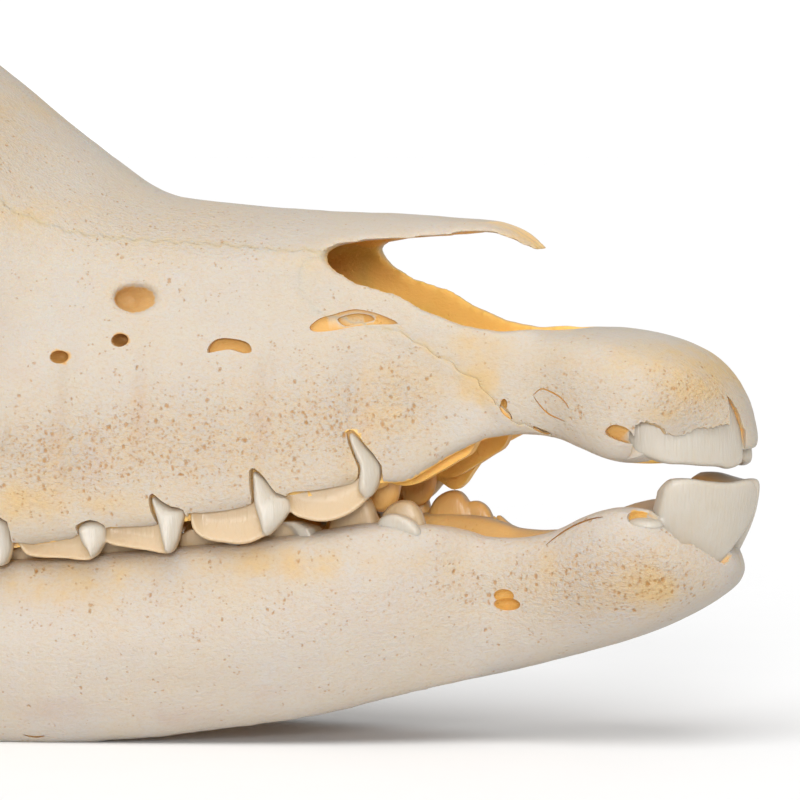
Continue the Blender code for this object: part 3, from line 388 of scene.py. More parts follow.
def change(made, kind, **values):
    """Adds a modifier with these values and applies it."""
    pick(made)
    bpy.ops.object.modifier_add(type=kind)
    modifier = made.modifiers[-1]
    for key, value in values.items():
        setattr(modifier, key, value)
    bpy.ops.object.modifier_apply(modifier=modifier.name)
    return made


def cut_away(made, find, context):
    """Deletes what find picks from a mesh: its VERTS or its FACES."""
    work = bmesh.new()
    work.from_mesh(made.data)
    bmesh.ops.delete(work, geom=find(work), context=context)
    work.to_mesh(made.data)
    work.free()


def place(points):
    """Skull places (u, y, z) in millimetres as world places in metres."""
    points = np.array(points, float).reshape(-1, 3)
    return np.column_stack([MIDDLE_U - points[:, 0], points[:, 1], points[:, 2]]) * MM


def places_of(made):
    """The skull places of an object's vertices."""
    points = np.empty(len(made.data.vertices) * 3, np.float32)
    made.data.vertices.foreach_get("co", points)
    points = points.reshape(-1, 3).astype(float) / MM
    points[:, 0] = MIDDLE_U - points[:, 0]
    return points


def normals_of(made):
    """The directions that an object's vertices face, in skull places."""
    normals = np.empty(len(made.data.vertices) * 3, np.float32)
    made.data.vertex_normals.foreach_get("vector", normals)
    normals = normals.reshape(-1, 3).astype(float)
    normals[:, 0] *= -1
    return normals


def put(made, places):
    """Moves an object's vertices to these skull places."""
    made.data.vertices.foreach_set("co", place(places).astype(np.float32).ravel())
    made.data.update()


def shell(rings):
    """A closed body through rings of the same number of points, as (points, faces)."""
    rings = np.array(rings, float)
    count, around = rings.shape[:2]
    faces = []
    for i in range(count - 1):
        for j in range(around):
            k = (j + 1) % around
            faces.append((i * around + j, i * around + k, (i + 1) * around + k,
                          (i + 1) * around + j))
    faces.append(tuple(reversed(range(around))))
    faces.append(tuple((count - 1) * around + j for j in range(around)))
    return rings.reshape(-1, 3), faces


def lofted(half_lines, stations, per_span=6):
    """A body across the midline: half_lines run from its top to its bottom, at these u."""
    curves = [line(knots) for knots in half_lines]
    rings = []
    for u in stations:
        half = [curve(u) for curve in curves]
        half = [(0.0, p[0]) if len(p) == 1 else (p[0], p[1]) for p in half]
        mirrored = [(-y, z) for y, z in reversed(half[1:-1])]
        outline = rounded(half + mirrored, per_span)
        rings.append([(u, y, z) for y, z in outline])
    return shell(rings)


def tube(stations, sides=16, per_span=6, side=1):
    """A rounded limb through stations (u, y, z, half its thickness, half its height)."""
    path = rounded(stations, per_span, closed=False)
    centres, sizes = path[:, :3] * (1, side, 1), path[:, 3:]
    rings = []
    for i, (centre, forward, (across, tall)) in enumerate(zip(centres, headings(centres), sizes)):
        up = np.array((0.0, 0.0, 1.0)) if abs(forward[2]) < 0.8 else np.array((1.0, 0.0, 0.0))
        up = up - forward * (up @ forward)
        up /= np.linalg.norm(up)
        out = np.cross(forward, up)
        ring = [(math.cos(a) * out * across, math.sin(a) * up * tall) for a in circle(sides)]
        if i in (0, len(centres) - 1):
            push = forward * min(across, tall) * (-1 if i == 0 else 1)
            end = [[centre + push * rise + (a + b) * math.sqrt(1 - rise * rise)
                    for a, b in ring] for rise in (0.0, 0.5, 0.85)]
            rings += end[::-1] if i == 0 else end
        else:
            rings.append([centre + a + b for a, b in ring])
    return shell(rings)


def plate(outline, middle, half, side=1, per_span=4):
    """A plate with this outline of (u, z), lying at y = middle(u, z), twice half thick."""
    outline = rounded(outline, per_span)
    near = [(u, (middle(u, z) - half) * side, z) for u, z in outline]
    far = [(u, (middle(u, z) + half) * side, z) for u, z in outline]
    return shell([near, far])


def prism(outline, low, high):
    """A block with this outline of (u, z), from y = low to y = high."""
    return shell([[(u, low, z) for u, z in outline], [(u, high, z) for u, z in outline]])


def ball(centre, radii, side=1, turn=0.0, detail=4):
    """An ellipsoid at (u, y, z) with radii along u, y and z, turned about z by turn degrees."""
    work = bmesh.new()
    bmesh.ops.create_icosphere(work, subdivisions=detail, radius=1.0)
    points = np.array([v.co for v in work.verts]) * radii
    faces = [tuple(v.index for v in f.verts) for f in work.faces]
    work.free()
    c, s = math.cos(math.radians(turn)), math.sin(math.radians(turn))
    points = points @ np.array([[c, s, 0], [-s, c, 0], [0, 0, 1]]) + centre
    return points * (1, side, 1), faces


def solid(name, shells):
    """One object that holds these shells, each closed and facing outwards."""
    mesh = bpy.data.meshes.new(name)
    points, faces, start = [], [], 0
    for shell_points, shell_faces in shells:
        points.append(place(shell_points))
        faces += [tuple(i + start for i in face) for face in shell_faces]
        start += len(shell_points)
    mesh.from_pydata([Vector(p) for p in np.concatenate(points)], [], faces)
    made = bpy.data.objects.new(name, mesh)
    bpy.context.scene.collection.objects.link(made)
    return edit(made, bpy.ops.mesh.quads_convert_to_tris,
                lambda: bpy.ops.mesh.normals_make_consistent(inside=False))


def twin(made, name):
    """A copy of the object under another name, with its own mesh."""
    copy = bpy.data.objects.new(name, made.data.copy())
    copy.data.name = name
    bpy.context.scene.collection.objects.link(copy)
    return copy


def combine(made, tools, operation):
    """One Boolean of the object with these closed shells, which are then removed."""
    helpers = bpy.data.collections.new("helpers")
    bpy.context.scene.collection.children.link(helpers)
    for tool in tools:
        helper = solid("helper", [tool])
        bpy.context.scene.collection.objects.unlink(helper)
        helpers.objects.link(helper)
    change(made, "BOOLEAN", operation=operation, solver="MANIFOLD", operand_type="COLLECTION",
           collection=helpers)
    for helper in list(helpers.objects):
        bpy.data.meshes.remove(helper.data)
    bpy.data.collections.remove(helpers)
    return made


def face_at(made, u, z):
    """How far from the midline the left face of the skin lies at (u, z)."""
    start = Vector(place((u, WIDE, z))[0])
    hit, where, _, _ = made.ray_cast(start, Vector((0, -1, 0)))
    return where.y / MM if hit else None


def sunk(made, outline, depth, proud=4.0):
    """A cutter with this outline of (u, z), which follows the skin at this depth below it."""
    faces = [face_at(made, u, z) for u, z in outline]
    usual = float(np.median([y for y in faces if y is not None]))
    faces = [usual if y is None else y for y in faces]
    return shell([[(u, y - depth, z) for (u, z), y in zip(outline, faces)],
                  [(u, y + proud, z) for (u, z), y in zip(outline, faces)]])


def groove(made, path, width, depth):
    """A cutter for a crack along this path of (u, z), which narrows to its ends."""
    path = rounded(path, 4, closed=False)
    along = headings(path)
    share = np.linspace(0, 1, len(path))
    half = (width / 2 * (0.3 + 0.7 * np.sin(math.pi * share)))[:, None]
    across = np.column_stack([-along[:, 1], along[:, 0]]) * half
    return sunk(made, [*(path + across), *(path - across)[::-1]], depth)


def melt(made, voxel, passes):
    """Melts the object's shells into one closed skin with this mesh size, and rounds it."""
    change(made, "REMESH", mode="VOXEL", voxel_size=voxel, adaptivity=0.0)
    return change(made, "SMOOTH", factor=0.5, iterations=passes)


def largest_part(made):
    """Keeps only the object's largest closed surface."""
    edges = np.empty(len(made.data.edges) * 2, np.int32)
    made.data.edges.foreach_get("vertices", edges)
    edges = edges.reshape(-1, 2)
    label = np.arange(len(made.data.vertices))
    while True:
        lowest = np.minimum(label[edges[:, 0]], label[edges[:, 1]])
        before = label.copy()
        np.minimum.at(label, edges[:, 0], lowest)
        np.minimum.at(label, edges[:, 1], lowest)
        label = label[label]
        if np.array_equal(before, label):
            break
    names, counts = np.unique(label, return_counts=True)
    if len(names) == 1:
        return made
    keep = names[np.argmax(counts)]
    cut_away(made, lambda work: [v for v, at in zip(work.verts, label) if at != keep], "VERTS")
    return made


# Shapes of the upper skull.

def face_bones():
    """The solid of the face, muzzle and palate, before its passages are cut."""
    face = lofted([NOSE_CROWN, NOSE_EDGE, CHEEK, CREST, GUM, GUM_INNER, PALATE_SIDE, PALATE],
                  [36, 37, 38, *np.arange(40, 170, 2.6), 169])
    muzzle = lofted([MUZZLE_TOP, MUZZLE_SHOULDER, MUZZLE_SIDE, MUZZLE_LIP, MUZZLE_UNDER_SIDE,
                     MUZZLE_UNDER],
                    [1.2, 1.6, 2.2, 3, 4, 5.3, 6.6, 8, 10, 12, 14, *np.arange(16, 47, 2.5), 46])
    return face, muzzle


def braincase():
    """The rounded box behind the eyes, down to the base of the skull."""
    return lofted([SKULL_CROWN, DOME, TEMPLE, FLANK, BASE_SIDE, BASE],
                  [*np.arange(146, 290, 4.5), 291, 294, 297, 299])


ORBIT_CENTRE = (178.5, 101.0)


def orbit_ring(side):
    """The rim of the eye socket, closed behind by the bar down to the cheek arch."""
    forward, up = np.array((-0.95, -0.31, 0.0)), np.array((0.05, -0.16, 0.98))
    centre = np.array((ORBIT_CENTRE[0], 50.5, ORBIT_CENTRE[1]))
    rings = []
    for a in circle(56):
        out = 27.0 * math.cos(a) * forward + 25.0 * math.sin(a) * up
        radial = out / np.linalg.norm(out)
        normal = np.cross(forward, up)
        wide = 4.2 + 1.6 * max(0.0, math.sin(a)) + 1.2 * max(0.0, -math.cos(a))
        rings.append([(centre + out + radial * math.cos(b) * wide + normal * math.sin(b) * 3.4)
                      * (1, side, 1) for b in circle(16)])
    rings = np.array(rings)
    around, across = rings.shape[:2]
    faces = [(i * across + j, i * across + (j + 1) % across,
              (i + 1) % around * across + (j + 1) % across, (i + 1) % around * across + j)
             for i in range(around) for j in range(across)]
    return rings.reshape(-1, 3), faces


def brow(side):
    """The shelf of the frontal bone over the eye socket, and the slope that leads up to it."""
    rim = tube([(149, 37, 101, 5, 5), (156, 38, 111, 6.5, 5), (164, 39.5, 119, 8, 4.8),
                (174, 41, 123.8, 9, 4.4), (184, 41.5, 125.6, 9, 4.2), (193, 40.5, 125.6, 8.5, 4.2),
                (201, 37, 125, 7, 4)], side=side)
    slope = tube([(148, 24, 107, 8, 6), (158, 26, 117, 9, 6.5), (170, 28, 125, 10, 6.5),
                  (183, 30, 129, 10, 6.5), (197, 32, 131, 9, 6), (206, 32, 131, 8, 5)], side=side)
    return [rim, slope]


def cheek_arch(side):
    """The facial crest, running back into the zygomatic arch and its root on the temple."""
    return tube([(120, 36.5, 50.5, 2.6, 3.4), (132, 43, 54, 4, 5), (145, 50, 61.5, 5, 7.5),
                 (158, 55.5, 68.5, 5, 8.6), (172, 59, 73, 4, 7.6), (188, 61.3, 77, 3.6, 7),
                 (203, 61.8, 81.5, 3.3, 6), (217, 60.2, 86, 3.2, 5.4), (229, 56, 89.5, 4, 5),
                 (239, 49, 92, 6, 5.4), (247, 40, 94, 8, 6)], side=side)


def tuber(side):
    """The rounded end of the maxilla behind the last cheek tooth."""
    return ball((158, 29, 48), (13, 11, 14), side)


def jaw_socket(side):
    """The block behind the arch that the jaw's condyle turns in."""
    return [ball((231, 46, 89), (10, 13, 5), side),
            ball((241.5, 45, 84.5), (3.2, 5, 6.5), side)]


def pterygoid_wall(side):
    """The thin wall beside the rear nostril, ending in its hook."""
    wall = plate([(141, 38), (152, 36.5), (165, 39), (178, 45), (190, 52.5), (198, 57),
                  (197, 61), (203, 68), (213, 79), (190, 80), (165, 72), (141, 60)],
                 lambda u, z: 13.6 + 0.02 * (u - 150), 1.5, side)
    hook = tube([(184, 14, 56, 1.8, 4), (192, 14.6, 55.4, 1.6, 3), (199, 16.4, 54.6, 1.4, 2)],
                side=side)
    return [wall, hook]


def ear_region(side):
    """The petrous bone, the bony ear passage and the styloid beside it."""
    return [ball((253, 28, 83), (12, 9, 8), side),
            tube([(253, 34, 89, 6.5, 6.5), (255, 42, 93, 6, 6), (257, 48, 97, 5.4, 5.4)],
                 side=side),
            ball((265, 37, 92), (8, 7, 12), side)]


def nape(side):
    """Half of the crest across the nape, and the process and the condyle below it."""
    crest = tube([(290.5, -2, 122, 3, 3.4), (290, 10, 120.5, 3, 3.4), (286.5, 22, 114, 2.8, 3.2),
                  (281, 32, 104.5, 2.6, 3), (275, 38, 95, 2.6, 3)], side=side)
    process = plate([(272, 92), (277, 84), (282, 75), (285.5, 70), (289, 69.5), (291, 73),
                     (291.5, 82), (293, 92), (284, 100)],
                    lambda u, z: 31 - 0.10 * (92 - z), 1.9, side)
    condyle = tube([(297, 8, 83, 6, 4), (301, 13, 86.5, 7.5, 7.5), (302, 16.5, 93, 8, 9),
                    (299, 17, 101, 6.5, 8), (295, 15, 107, 4, 5)], side=side)
    return [crest, process, condyle]


def hollows():
    """The nasal passages, the rear nostrils, the braincase, the eye sockets and the nerve holes."""
    stations = [30, *np.arange(33, 150, 3.5), 152]
    passage = lofted([PASSAGE_ROOF, PASSAGE_ROOF_SIDE, PASSAGE_SIDE, PASSAGE_FLOOR_SIDE,
                      PASSAGE_FLOOR], stations)
    rear = tube([(136, 0, 60, 10.5, 8.5), (150, 0, 55.5, 10.8, 9.5), (164, 0, 53.5, 11, 11),
                 (182, 0, 57, 11, 12), (198, 0, 60, 11, 13), (214, 0, 62, 11, 12)])
    brain = ball((262, 0, 107), (26, 25, 20))
    great_hole = tube([(276, 0, 103, 13.5, 11), (290, 0, 101, 13.5, 11.5), (320, 0, 99, 14, 12)])
    cuts = [passage, rear, prism(NOTCH, -40, 40), brain, great_hole]
    for side in SIDES:
        palate_slit = tube([(27, 4.6, 56, 2, 12), (40, 5, 55, 2.6, 14), (55, 4.6, 54, 2, 12)],
                           side=side)
        eye = ball((ORBIT_CENTRE[0], 50, ORBIT_CENTRE[1]), (22.8, 27, 21), side, turn=-17)
        nerve = tube([(96.5, 34, 74.2, 3.9, 2.6), (99.2, 27, 73.8, 3.8, 2.6),
                      (101.0, 24.8, 73.5, 3.2, 2.2), (102.2, 23.4, 73.2, 2.2, 1.6)], side=side)
        ear = tube([(250, 31, 89, 2.6, 2.6), (255, 41, 92.5, 3.1, 3.1),
                    (260, 56, 101, 3.6, 3.6)], side=side)
        cuts += [palate_slit, eye, nerve, ear]
    return cuts


def whole_cranium(sizes):
    """The upper skull as one smooth skin, without its teeth."""
    shells = [*face_bones(), braincase()]
    for side in SIDES:
        shells += [orbit_ring(side), *brow(side), cheek_arch(side), tuber(side)]
        shells += jaw_socket(side) + pterygoid_wall(side) + ear_region(side) + nape(side)
    cranium = melt(solid("cranium", shells), FIRST_MESH, 4)
    combine(cranium, hollows(), "DIFFERENCE")
    combine(cranium, [prism(VOMER, -VOMER_HALF, VOMER_HALF)], "UNION")
    return largest_part(melt(cranium, sizes.bone_mesh, sizes.rounding))


# Shapes of the lower jaw.

def jaw_body(side):
    """The bar of the jaw that carries the cheek teeth."""
    top, middle, bottom = line(JAW_TOP), line(JAW_MIDDLE), line(JAW_BOTTOM)
    rings = []
    for u in np.linspace(46, 190, 60):
        (yt, zt, ht), (ym, zm, hm), (yb, zb, hb) = top(u), middle(u), bottom(u)
        outline = [(yt - ht * 0.8, zt - 0.8), (yt, zt), (yt + ht * 0.8, zt - 0.8),
                   (yt + ht * 1.05, zt - 5), (ym + hm, zm), (yb + hb, zb + 4), (yb, zb),
                   (yb - hb, zb + 4), (ym - hm, zm), (yt - ht * 1.05, zt - 5)]
        rings.append([(u, y * side, z) for y, z in rounded(outline, 5)])
    return shell(rings)


def ramus_middle(u, z):
    """How far from the midline the upright plate of the jaw stands."""
    return 36.0 + 0.10 * (u - 165) + 0.05 * (z - 30)


def jaw_ramus(side):
    """The upright plate of the jaw with its thick rear edge and the condyle."""
    edge = [(u, ramus_middle(u, z), z, 3.6, 2.6) for u, z in ANGLE_EDGE]
    condyle = tube([(229, 35.5, 78.2, 4.2, 3.0), (229.5, 41, 79.2, 5, 3.6),
                    (229.5, 47, 79.4, 5, 3.8), (229, 56, 78.4, 4.2, 3.0)], side=side)
    return [plate(RAMUS_OUTLINE, ramus_middle, 2.3, side), tube(edge, side=side), condyle]


def whole_jaw(sizes):
    """Both halves of the lower jaw as one smooth skin, without their teeth."""
    shells = [lofted([CHIN_TOP, CHIN_RIM, CHIN_SIDE, CHIN_LOW, CHIN_UNDER],
                     [3.8, 4.1, 4.6, 5.2, 6, 7, 8, 9.5, *np.arange(11, 56, 2.5), 56])]
    for side in SIDES:
        shells += [jaw_body(side), *jaw_ramus(side)]
    jaw = melt(solid("jaw", shells), FIRST_MESH, 4)
    return largest_part(melt(jaw, sizes.bone_mesh, sizes.rounding))


# Cracks of the jaw, on its upper and its lower border, and the block that its foot is cut with.
JAW_CRACKS = [[(33.4, 33.4), (31.2, 35.2), (28.8, 36.6), (25.8, 37.8), (23.4, 38.3)],
              [(118.6, 1.4), (116.8, 1.0), (115.0, 1.2)]]
TABLE_CUT = [(20, -9), (20, 0), (220, 0), (220, -9)]


def cut_out(made, plain, floored):
    """Cuts shapes out in one go, and returns the floors of those that get painted amber glow and
    painted shade.
    """
    combine(made, plain + [shape for shape, amber, painted_shade in floored], "DIFFERENCE")
    return [(shape[0][:len(shape[0]) // 2], amber, painted_shade) for shape, amber, painted_shade in floored]


def open_jaw(made):
    """Flattens the jaw where it stands, and cuts its nerve hole, cracks and gum edge."""
    plain = [prism(TABLE_CUT, -1, WIDE)]
    plain += [ball(centre, radii, turn=25) for centre, radii, painted_shade in JAW_HOLES]
    # The cracks' floors get painted amber glow and painted shade, the gum edge's floor painted
    # amber glow only.
    floored = [(groove(made, path, width=0.3, depth=0.5), 0.8, 0.4) for path in JAW_CRACKS]
    floored.append((bare_edge(LOWER_AT, LOWER_GUM, -1, BARE_DEPTH), 0.5, 0.0))
    return cut_out(made, plain, floored)


# Parting the bones.

FAR_AWAY = 9.0  # a distance at which a suture no longer shows


def suture_distance(places, upto):
    """The distance of each place from the nearest suture, among the first bones cut."""
    (u, z), across = straight(places), np.abs(places[:, 1])
    best = np.full(len(places), FAR_AWAY)
    for name, outline, low, high, parted in BONES[:upto + 1]:
        if outline:
            ends = [p[0] for p in outline]
            near = within(across, low - 1.5, high + 1.5)
            near &= within(u, min(ends) - FAR_AWAY, max(ends) + FAR_AWAY)
            best[near] = np.minimum(best[near], to_segments(u[near], z[near], outline))
    return best


def half_of(made):
    """Cuts the object along the midline and keeps its left half, closed."""
    edit(made, lambda: bpy.ops.mesh.bisect(plane_co=(0, 0, 0), plane_no=(0, -1, 0), use_fill=True,
                                           clear_outer=True, threshold=1e-7),
         bpy.ops.mesh.quads_convert_to_tris)
    return largest_part(made)


def mirrored(made, name):
    """The same bone on the right side."""
    other = twin(made, name)
    put(other, places_of(made) * (1, -1, 1))
    return edit(other, bpy.ops.mesh.flip_normals)


def both_sides(made, name):
    """A bone on the midline, from its left half."""
    made.name = made.data.name = name
    middle = np.abs(places_of(made)[:, 1]) < 1e-3
    cut_away(made, lambda work: [f for f in work.faces if all(middle[v.index] for v in f.verts)],
             "FACES")
    return change(made, "MIRROR", use_axis=(False, True, False), use_mirror_merge=True,
                  merge_threshold=1e-5)


def part_bones(rest):
    """Cuts the left half of the skull into its bones along the sutures, and mirrors them."""
    bones = []
    for index, (name, outline, low, high, parted) in enumerate(BONES):
        bone = rest
        if outline:
            block = prism(stray(outline), low or -1.0, high)
            bone = combine(twin(rest, name), [block], "INTERSECT")
            combine(rest, [block], "DIFFERENCE")
        largest_part(bone)
        if parted:
            bone.name = bone.data.name = name + "_left_bone"
            bones.append((bone, name + "_left", index))
            bones.append((mirrored(bone, name + "_right_bone"), name + "_right", index))
        else:
            bones.append((both_sides(bone, name + "_bone"), name, index))
    return bones


# Relief and colour masks of the bones.

# Grooves between the roots of the cheek teeth: u at the height of ROOT_HEIGHT, and width.
ROOT_HEIGHT = 49.0
ROOT_GROOVES = [(63.5, 1.5), (77.2, 1.4), (96.3, 1.6), (108.4, 1.4), (122.5, 1.5), (136.0, 1.6)]
# Pits and openings on the left: centre, radii, and how much painted shade their inside gets.
HOLES = [((101.8, 28.8, 66.7), (1.4, 3.6, 1.1), 0.75), ((111, 32.6, 64.0), (1.5, 2.8, 1.1), 0.68),
         ((40.2, 14.6, 56.4), (0.6, 1.4, 0.9), 0.5)]
# Outlines of the slot, the fissure with its deeper part, and the end of the incisor's socket.
SLOT = [(87.7, 64.7), (87.4, 66.1), (86.0, 67.0), (83.3, 66.9), (81.2, 66.2), (80.6, 64.9),
        (81.9, 64.6), (84.1, 65.2), (86.2, 64.9)]
FISSURE = [(71.7, 69), (70.2, 70.3), (68.2, 70.9), (66.3, 71.5), (64.3, 71.8), (61, 71.1),
           (57.6, 69.5), (61.8, 69.3), (64.5, 69), (66, 68.7), (68, 68.3), (70.1, 68.1),
           (71.4, 68.3)]
FISSURE_DEEP = [(67.6, 70.1), (66.2, 70.8), (64.4, 71.1), (62.4, 70.8), (61.6, 70.1),
                (62.6, 69.7), (64.5, 69.4), (66.3, 69)]
SOCKET = [(22.2, 52.5), (20.8, 53.5), (18.6, 53.0), (17.6, 51.6), (17.9, 50.3), (21.6, 51.5)]
# The same cuts, each with its depth, and how much painted amber glow and painted shade its floor
# gets.
SHALLOW_CUTS = [(SLOT, 1.5, 1.0, 0.52), (FISSURE, 0.8, 0.9, 0.4), (FISSURE_DEEP, 1.5, 1.0, 0.5),
                (SOCKET, 1.8, 0.9, 0.42)]
# The cracks around the flake, and the gaps at the end of the suture.
FLAKE_CRACKS = [[(35.2, 57.9), (33.8, 59), (32.1, 58.6), (30.4, 57.8), (29.3, 56.9), (28.6, 55.9)],
                [(35.1, 57.7), (34, 56.3), (32.6, 55), (31, 54.3), (29.6, 53.8)]]
SUTURE_GAPS = [[(40.9, 56.4), (39.6, 55.6), (38.8, 54.0), (39.6, 54.2), (40.6, 55.2)],
               [(35.4, 52.9), (33.6, 52.2), (32.6, 51.7), (33.4, 51.5), (35.2, 52.3)]]
# The lower edge of the maxilla over each lobe of the cheek teeth, from front to back.
GUM_EDGES = [
    [(58.0, 34), (58.2, 41), (59.0, 43), (58.9, 46.4), (61.8, 50.1), (63.7, 52.1), (64.8, 51.8),
     (63.6, 48.3), (62.6, 46.1), (62.8, 44.4), (64, 43.4), (66, 43.0), (68.1, 42.6),
     (70.6, 42.3), (73.5, 41.9), (74.3, 39), (74.2, 34)],
    [(73.2, 33), (73.1, 38.5), (73.2, 41.2), (75.2, 42.1), (77.0, 44.4), (78.6, 46.0),
     (79.4, 45.6), (79.2, 42.5), (79.2, 40.3), (81.8, 39.4), (84.1, 39.0), (86.8, 38.7),
     (89.3, 38.6), (89.9, 36), (89.8, 31)],
    [(89.6, 30), (89.5, 36.5), (89.8, 39.2), (91.7, 39.8), (93.4, 40.8), (94.8, 41.9),
     (95.4, 41.0), (95.0, 38.8), (94.4, 37.1), (95.0, 36.5), (98.5, 36.4), (100.4, 36.3),
     (102.7, 36.1), (103.1, 33), (103.1, 29)],
    [(102.5, 29), (102.5, 34.5), (102.6, 36.6), (104.9, 37.5), (107.1, 36.6), (107.3, 36),
     (107.2, 35), (109.7, 33.9), (112, 33.5), (114.7, 33.2), (118, 33.6), (118.5, 31),
     (118.5, 28)],
    [(118.0, 27), (118.0, 33), (118.2, 37.1), (120.9, 38.1), (121.9, 37), (121.7, 34.8),
     (126, 34.0), (131, 33.7), (133, 33.5), (133.1, 27)],
    [(132.0, 27), (132.0, 33), (132.2, 36.9), (136, 37.4), (136.9, 36), (136.7, 34.4),
     (141, 33.7), (147, 33.9), (148, 32), (148, 27)]]


def lift(made, relief):
    """Moves the skin out by this many millimetres along its normals."""
    put(made, places_of(made) + normals_of(made) * relief[:, None])


def small_lumps(places, sizes):
    """Small lumps all over the bone."""
    rise = 0.9 * lumps(places, 9.0, 1) + 0.45 * lumps(places, 3.5, 2) + 0.25 * lumps(places, 1.5, 3)
    return rise * sizes.lumps / MM


def outward_share(made):
    """How squarely the left face of the skin looks away from the midline."""
    return smooth_step(normals_of(made)[:, 1], 0.15, 0.6)


# Broad rises and dents: centre (u, z), radii and height.
FACE_BUMPS = [((102, 98), (5, 3.5), 0.5), ((97, 91), (3, 2), -0.35), ((118, 66), (8, 5), -0.5),
              ((95, 61), (7, 5), 0.35), ((75, 76), (10, 3), -0.3), ((52, 60), (7, 6), 0.3),
              ((26, 58), (6, 4), -0.25), ((14, 60), (6, 4), 0.25)]
JAW_BUMPS = [((60, 29), (9, 5), 0.35), ((85, 20), (16, 6), -0.3), ((25, 27), (8, 5), 0.3),
             ((42, 24), (5, 4), -0.35), ((112, 8), (12, 5), 0.3)]


def carve(made, sizes):
    """The relief of the upper skull's left half: ridges over the roots, dents and lumps."""
    places = places_of(made)
    u, z = places[:, 0], places[:, 2]
    over_teeth = plateau(z, (36, 44), (62, 70)) * smooth_step(u, 55, 62)
    ribs = np.zeros(len(places))
    for at, width in ROOT_GROOVES:
        lean = at + 0.05 * (z - ROOT_HEIGHT)
        ribs -= 0.45 * np.exp(-((u - lean) / width) ** 2)
        ribs += 0.30 * np.exp(-((u - lean - 4.5) / 3.0) ** 2)
    rise = (ribs * over_teeth + spots(places, FACE_BUMPS)) * outward_share(made)
    lift(made, rise + small_lumps(places, sizes))
    cover(made, UPPER_AT, UPPER_GUM, 1, 0.55)


def cover(made, at, gum, up, proud):
    """Brings the bone beside an incisor out over its face, up to the gum line in (s, z)."""
    places = places_of(made)
    s, rise = at.inverse(places)
    above = (places[:, 2] - between(gum, s, 1)) * up
    share = plateau(above, (-2.5, -0.2), (0.6, 4.5)) * plateau(s, (-6.5, -3.0), (12.0, 14.5))
    share *= smooth_step(rise, -3.2, -1.6) * smooth_step(places[:, 1], 1.0, 5.0)
    push = np.maximum(proud - rise, 0.0) * share
    swing = np.array((-math.cos(INCISOR_SWING), math.sin(INCISOR_SWING), 0.0))
    put(made, places + swing * push[:, None])


BARE_DEPTH = 0.15


def bare_edge(at, gum, up, depth):
    """A cutter that clears the bone off an incisor's face below its ragged gum edge."""
    ragged = []
    for i, s in enumerate(np.arange(gum[0][0], gum[-1][0] + 0.3, 0.45)):
        wave = 0.16 * math.sin(9.1 * i) + 0.1 * math.sin(4.3 * i + 1)
        ragged.append((s, between(gum, s, 1) + wave))
    reach = [(gum[-1][0] + 0.4, ragged[-1][1] - 12 * up), (gum[0][0] - 0.3, ragged[0][1] - 12 * up)]
    outline = ragged + reach
    return shell([[at(s, z, -depth) for s, z in outline], [at(s, z, 5.0) for s, z in outline]])


# Two thin upright edges of bone beside the palate: outline of (u, z), then how far they stand
# from the midline and half their thickness.
PALATE_RIDGE = [(46.8, 48.4), (49.4, 46.6), (52.4, 44.8), (55.8, 43.0), (58.6, 42.8), (61.5, 44.2),
                (62, 50), (54, 53), (46, 52)]
PALATE_FLAP = [(44.6, 50.6), (47.6, 49.2), (50.2, 47.6), (52.2, 45.7), (53.8, 43.7), (55.4, 41.6),
               (57.2, 40.5), (59.4, 41.6), (61.6, 43.6), (62.4, 49), (56, 52), (46, 53)]
RIDGE_PLACE = 10.5, 1.3
FLAP_PLACE = 14.2, 1.2


def palate_edge(outline, across, half):
    """A thin upright edge of bone this far from the midline, in front of the teeth."""
    return plate(outline, lambda u, z: across + 0.12 * (u - 50) - 0.1 * (z - 46), half)


def gum_cutter(outline):
    """A cutter that clears the bone off one lobe of a cheek tooth, down to its gum edge."""
    outline = rounded(outline, 2)
    floor = []
    for u, z in outline:
        under = smooth_step(GUM_LINE(u)[1] + 1.6 - z, 0, 1.6)
        floor.append((u, gum_face(u, z) - 0.65 - 1.3 * under, z))
    return shell([floor, [(u, 60.0, z) for u, z in outline]])


def open_up(made):
    """Cuts the left half's openings, cracks and gum edges, and returns the floors of the cuts."""
    # Each floor comes with how much painted amber glow and painted shade it gets.
    floored = [(sunk(made, rounded(outline, 3), depth), amber, painted_shade)
               for outline, depth, amber, painted_shade in SHALLOW_CUTS]
    floored += [(groove(made, path, width=0.28, depth=0.4), 1.0, 0.3) for path in FLAKE_CRACKS]
    floored += [(sunk(made, rounded(gap, 3), depth=0.9), 1.0, 0.3) for gap in SUTURE_GAPS]
    floored += [(gum_cutter(outline), 0.7, 0.35) for outline in GUM_EDGES]
    floored.append((bare_edge(UPPER_AT, UPPER_GUM, 1, BARE_DEPTH), 0.8, 0.1))
    return cut_out(made, [ball(centre, radii, detail=3) for centre, radii, painted_shade in HOLES], floored)


# The part of the suture between the maxilla and the incisive bone that stands up as a lip.
SUTURE_LIP = [(32.6, 51.5), (38.9, 53.8), (44.8, 60.2), (50, 63.7), (57.8, 68.4)]


def raise_lip(made, height):
    """Raises a bone's edge along the suture between the maxilla and the incisive bone."""
    places = places_of(made)
    away = to_segments(*straight(places), SUTURE_LIP, closed=False)
    shift = height * (1 - smooth_step(away, 0.0, 2.6)) * smooth_step(np.abs(places[:, 1]), 9, 12)
    places[:, 1] += shift * np.sign(places[:, 1])
    put(made, places)


def mark(made, name, values):
    """Stores a value from 0 to 1 at each vertex, for the material to read."""
    attribute = made.data.attributes.new(name, "FLOAT", "POINT")
    attribute.data.foreach_set("value", np.clip(values, 0, 1).astype(np.float32))


FLOOR_MATCH = 0.06   # how near a corner of a cut has to be to count as its floor
SEAM_REACH = 1.2     # how far the stain of a suture reaches
LEAST_POROUS = 0.12  # how porous all bone is
LOWEST_GUM = 28.0    # below it there is no gum of the upper teeth
NERVE_HOLE = (101, 73), (9, 5.4)


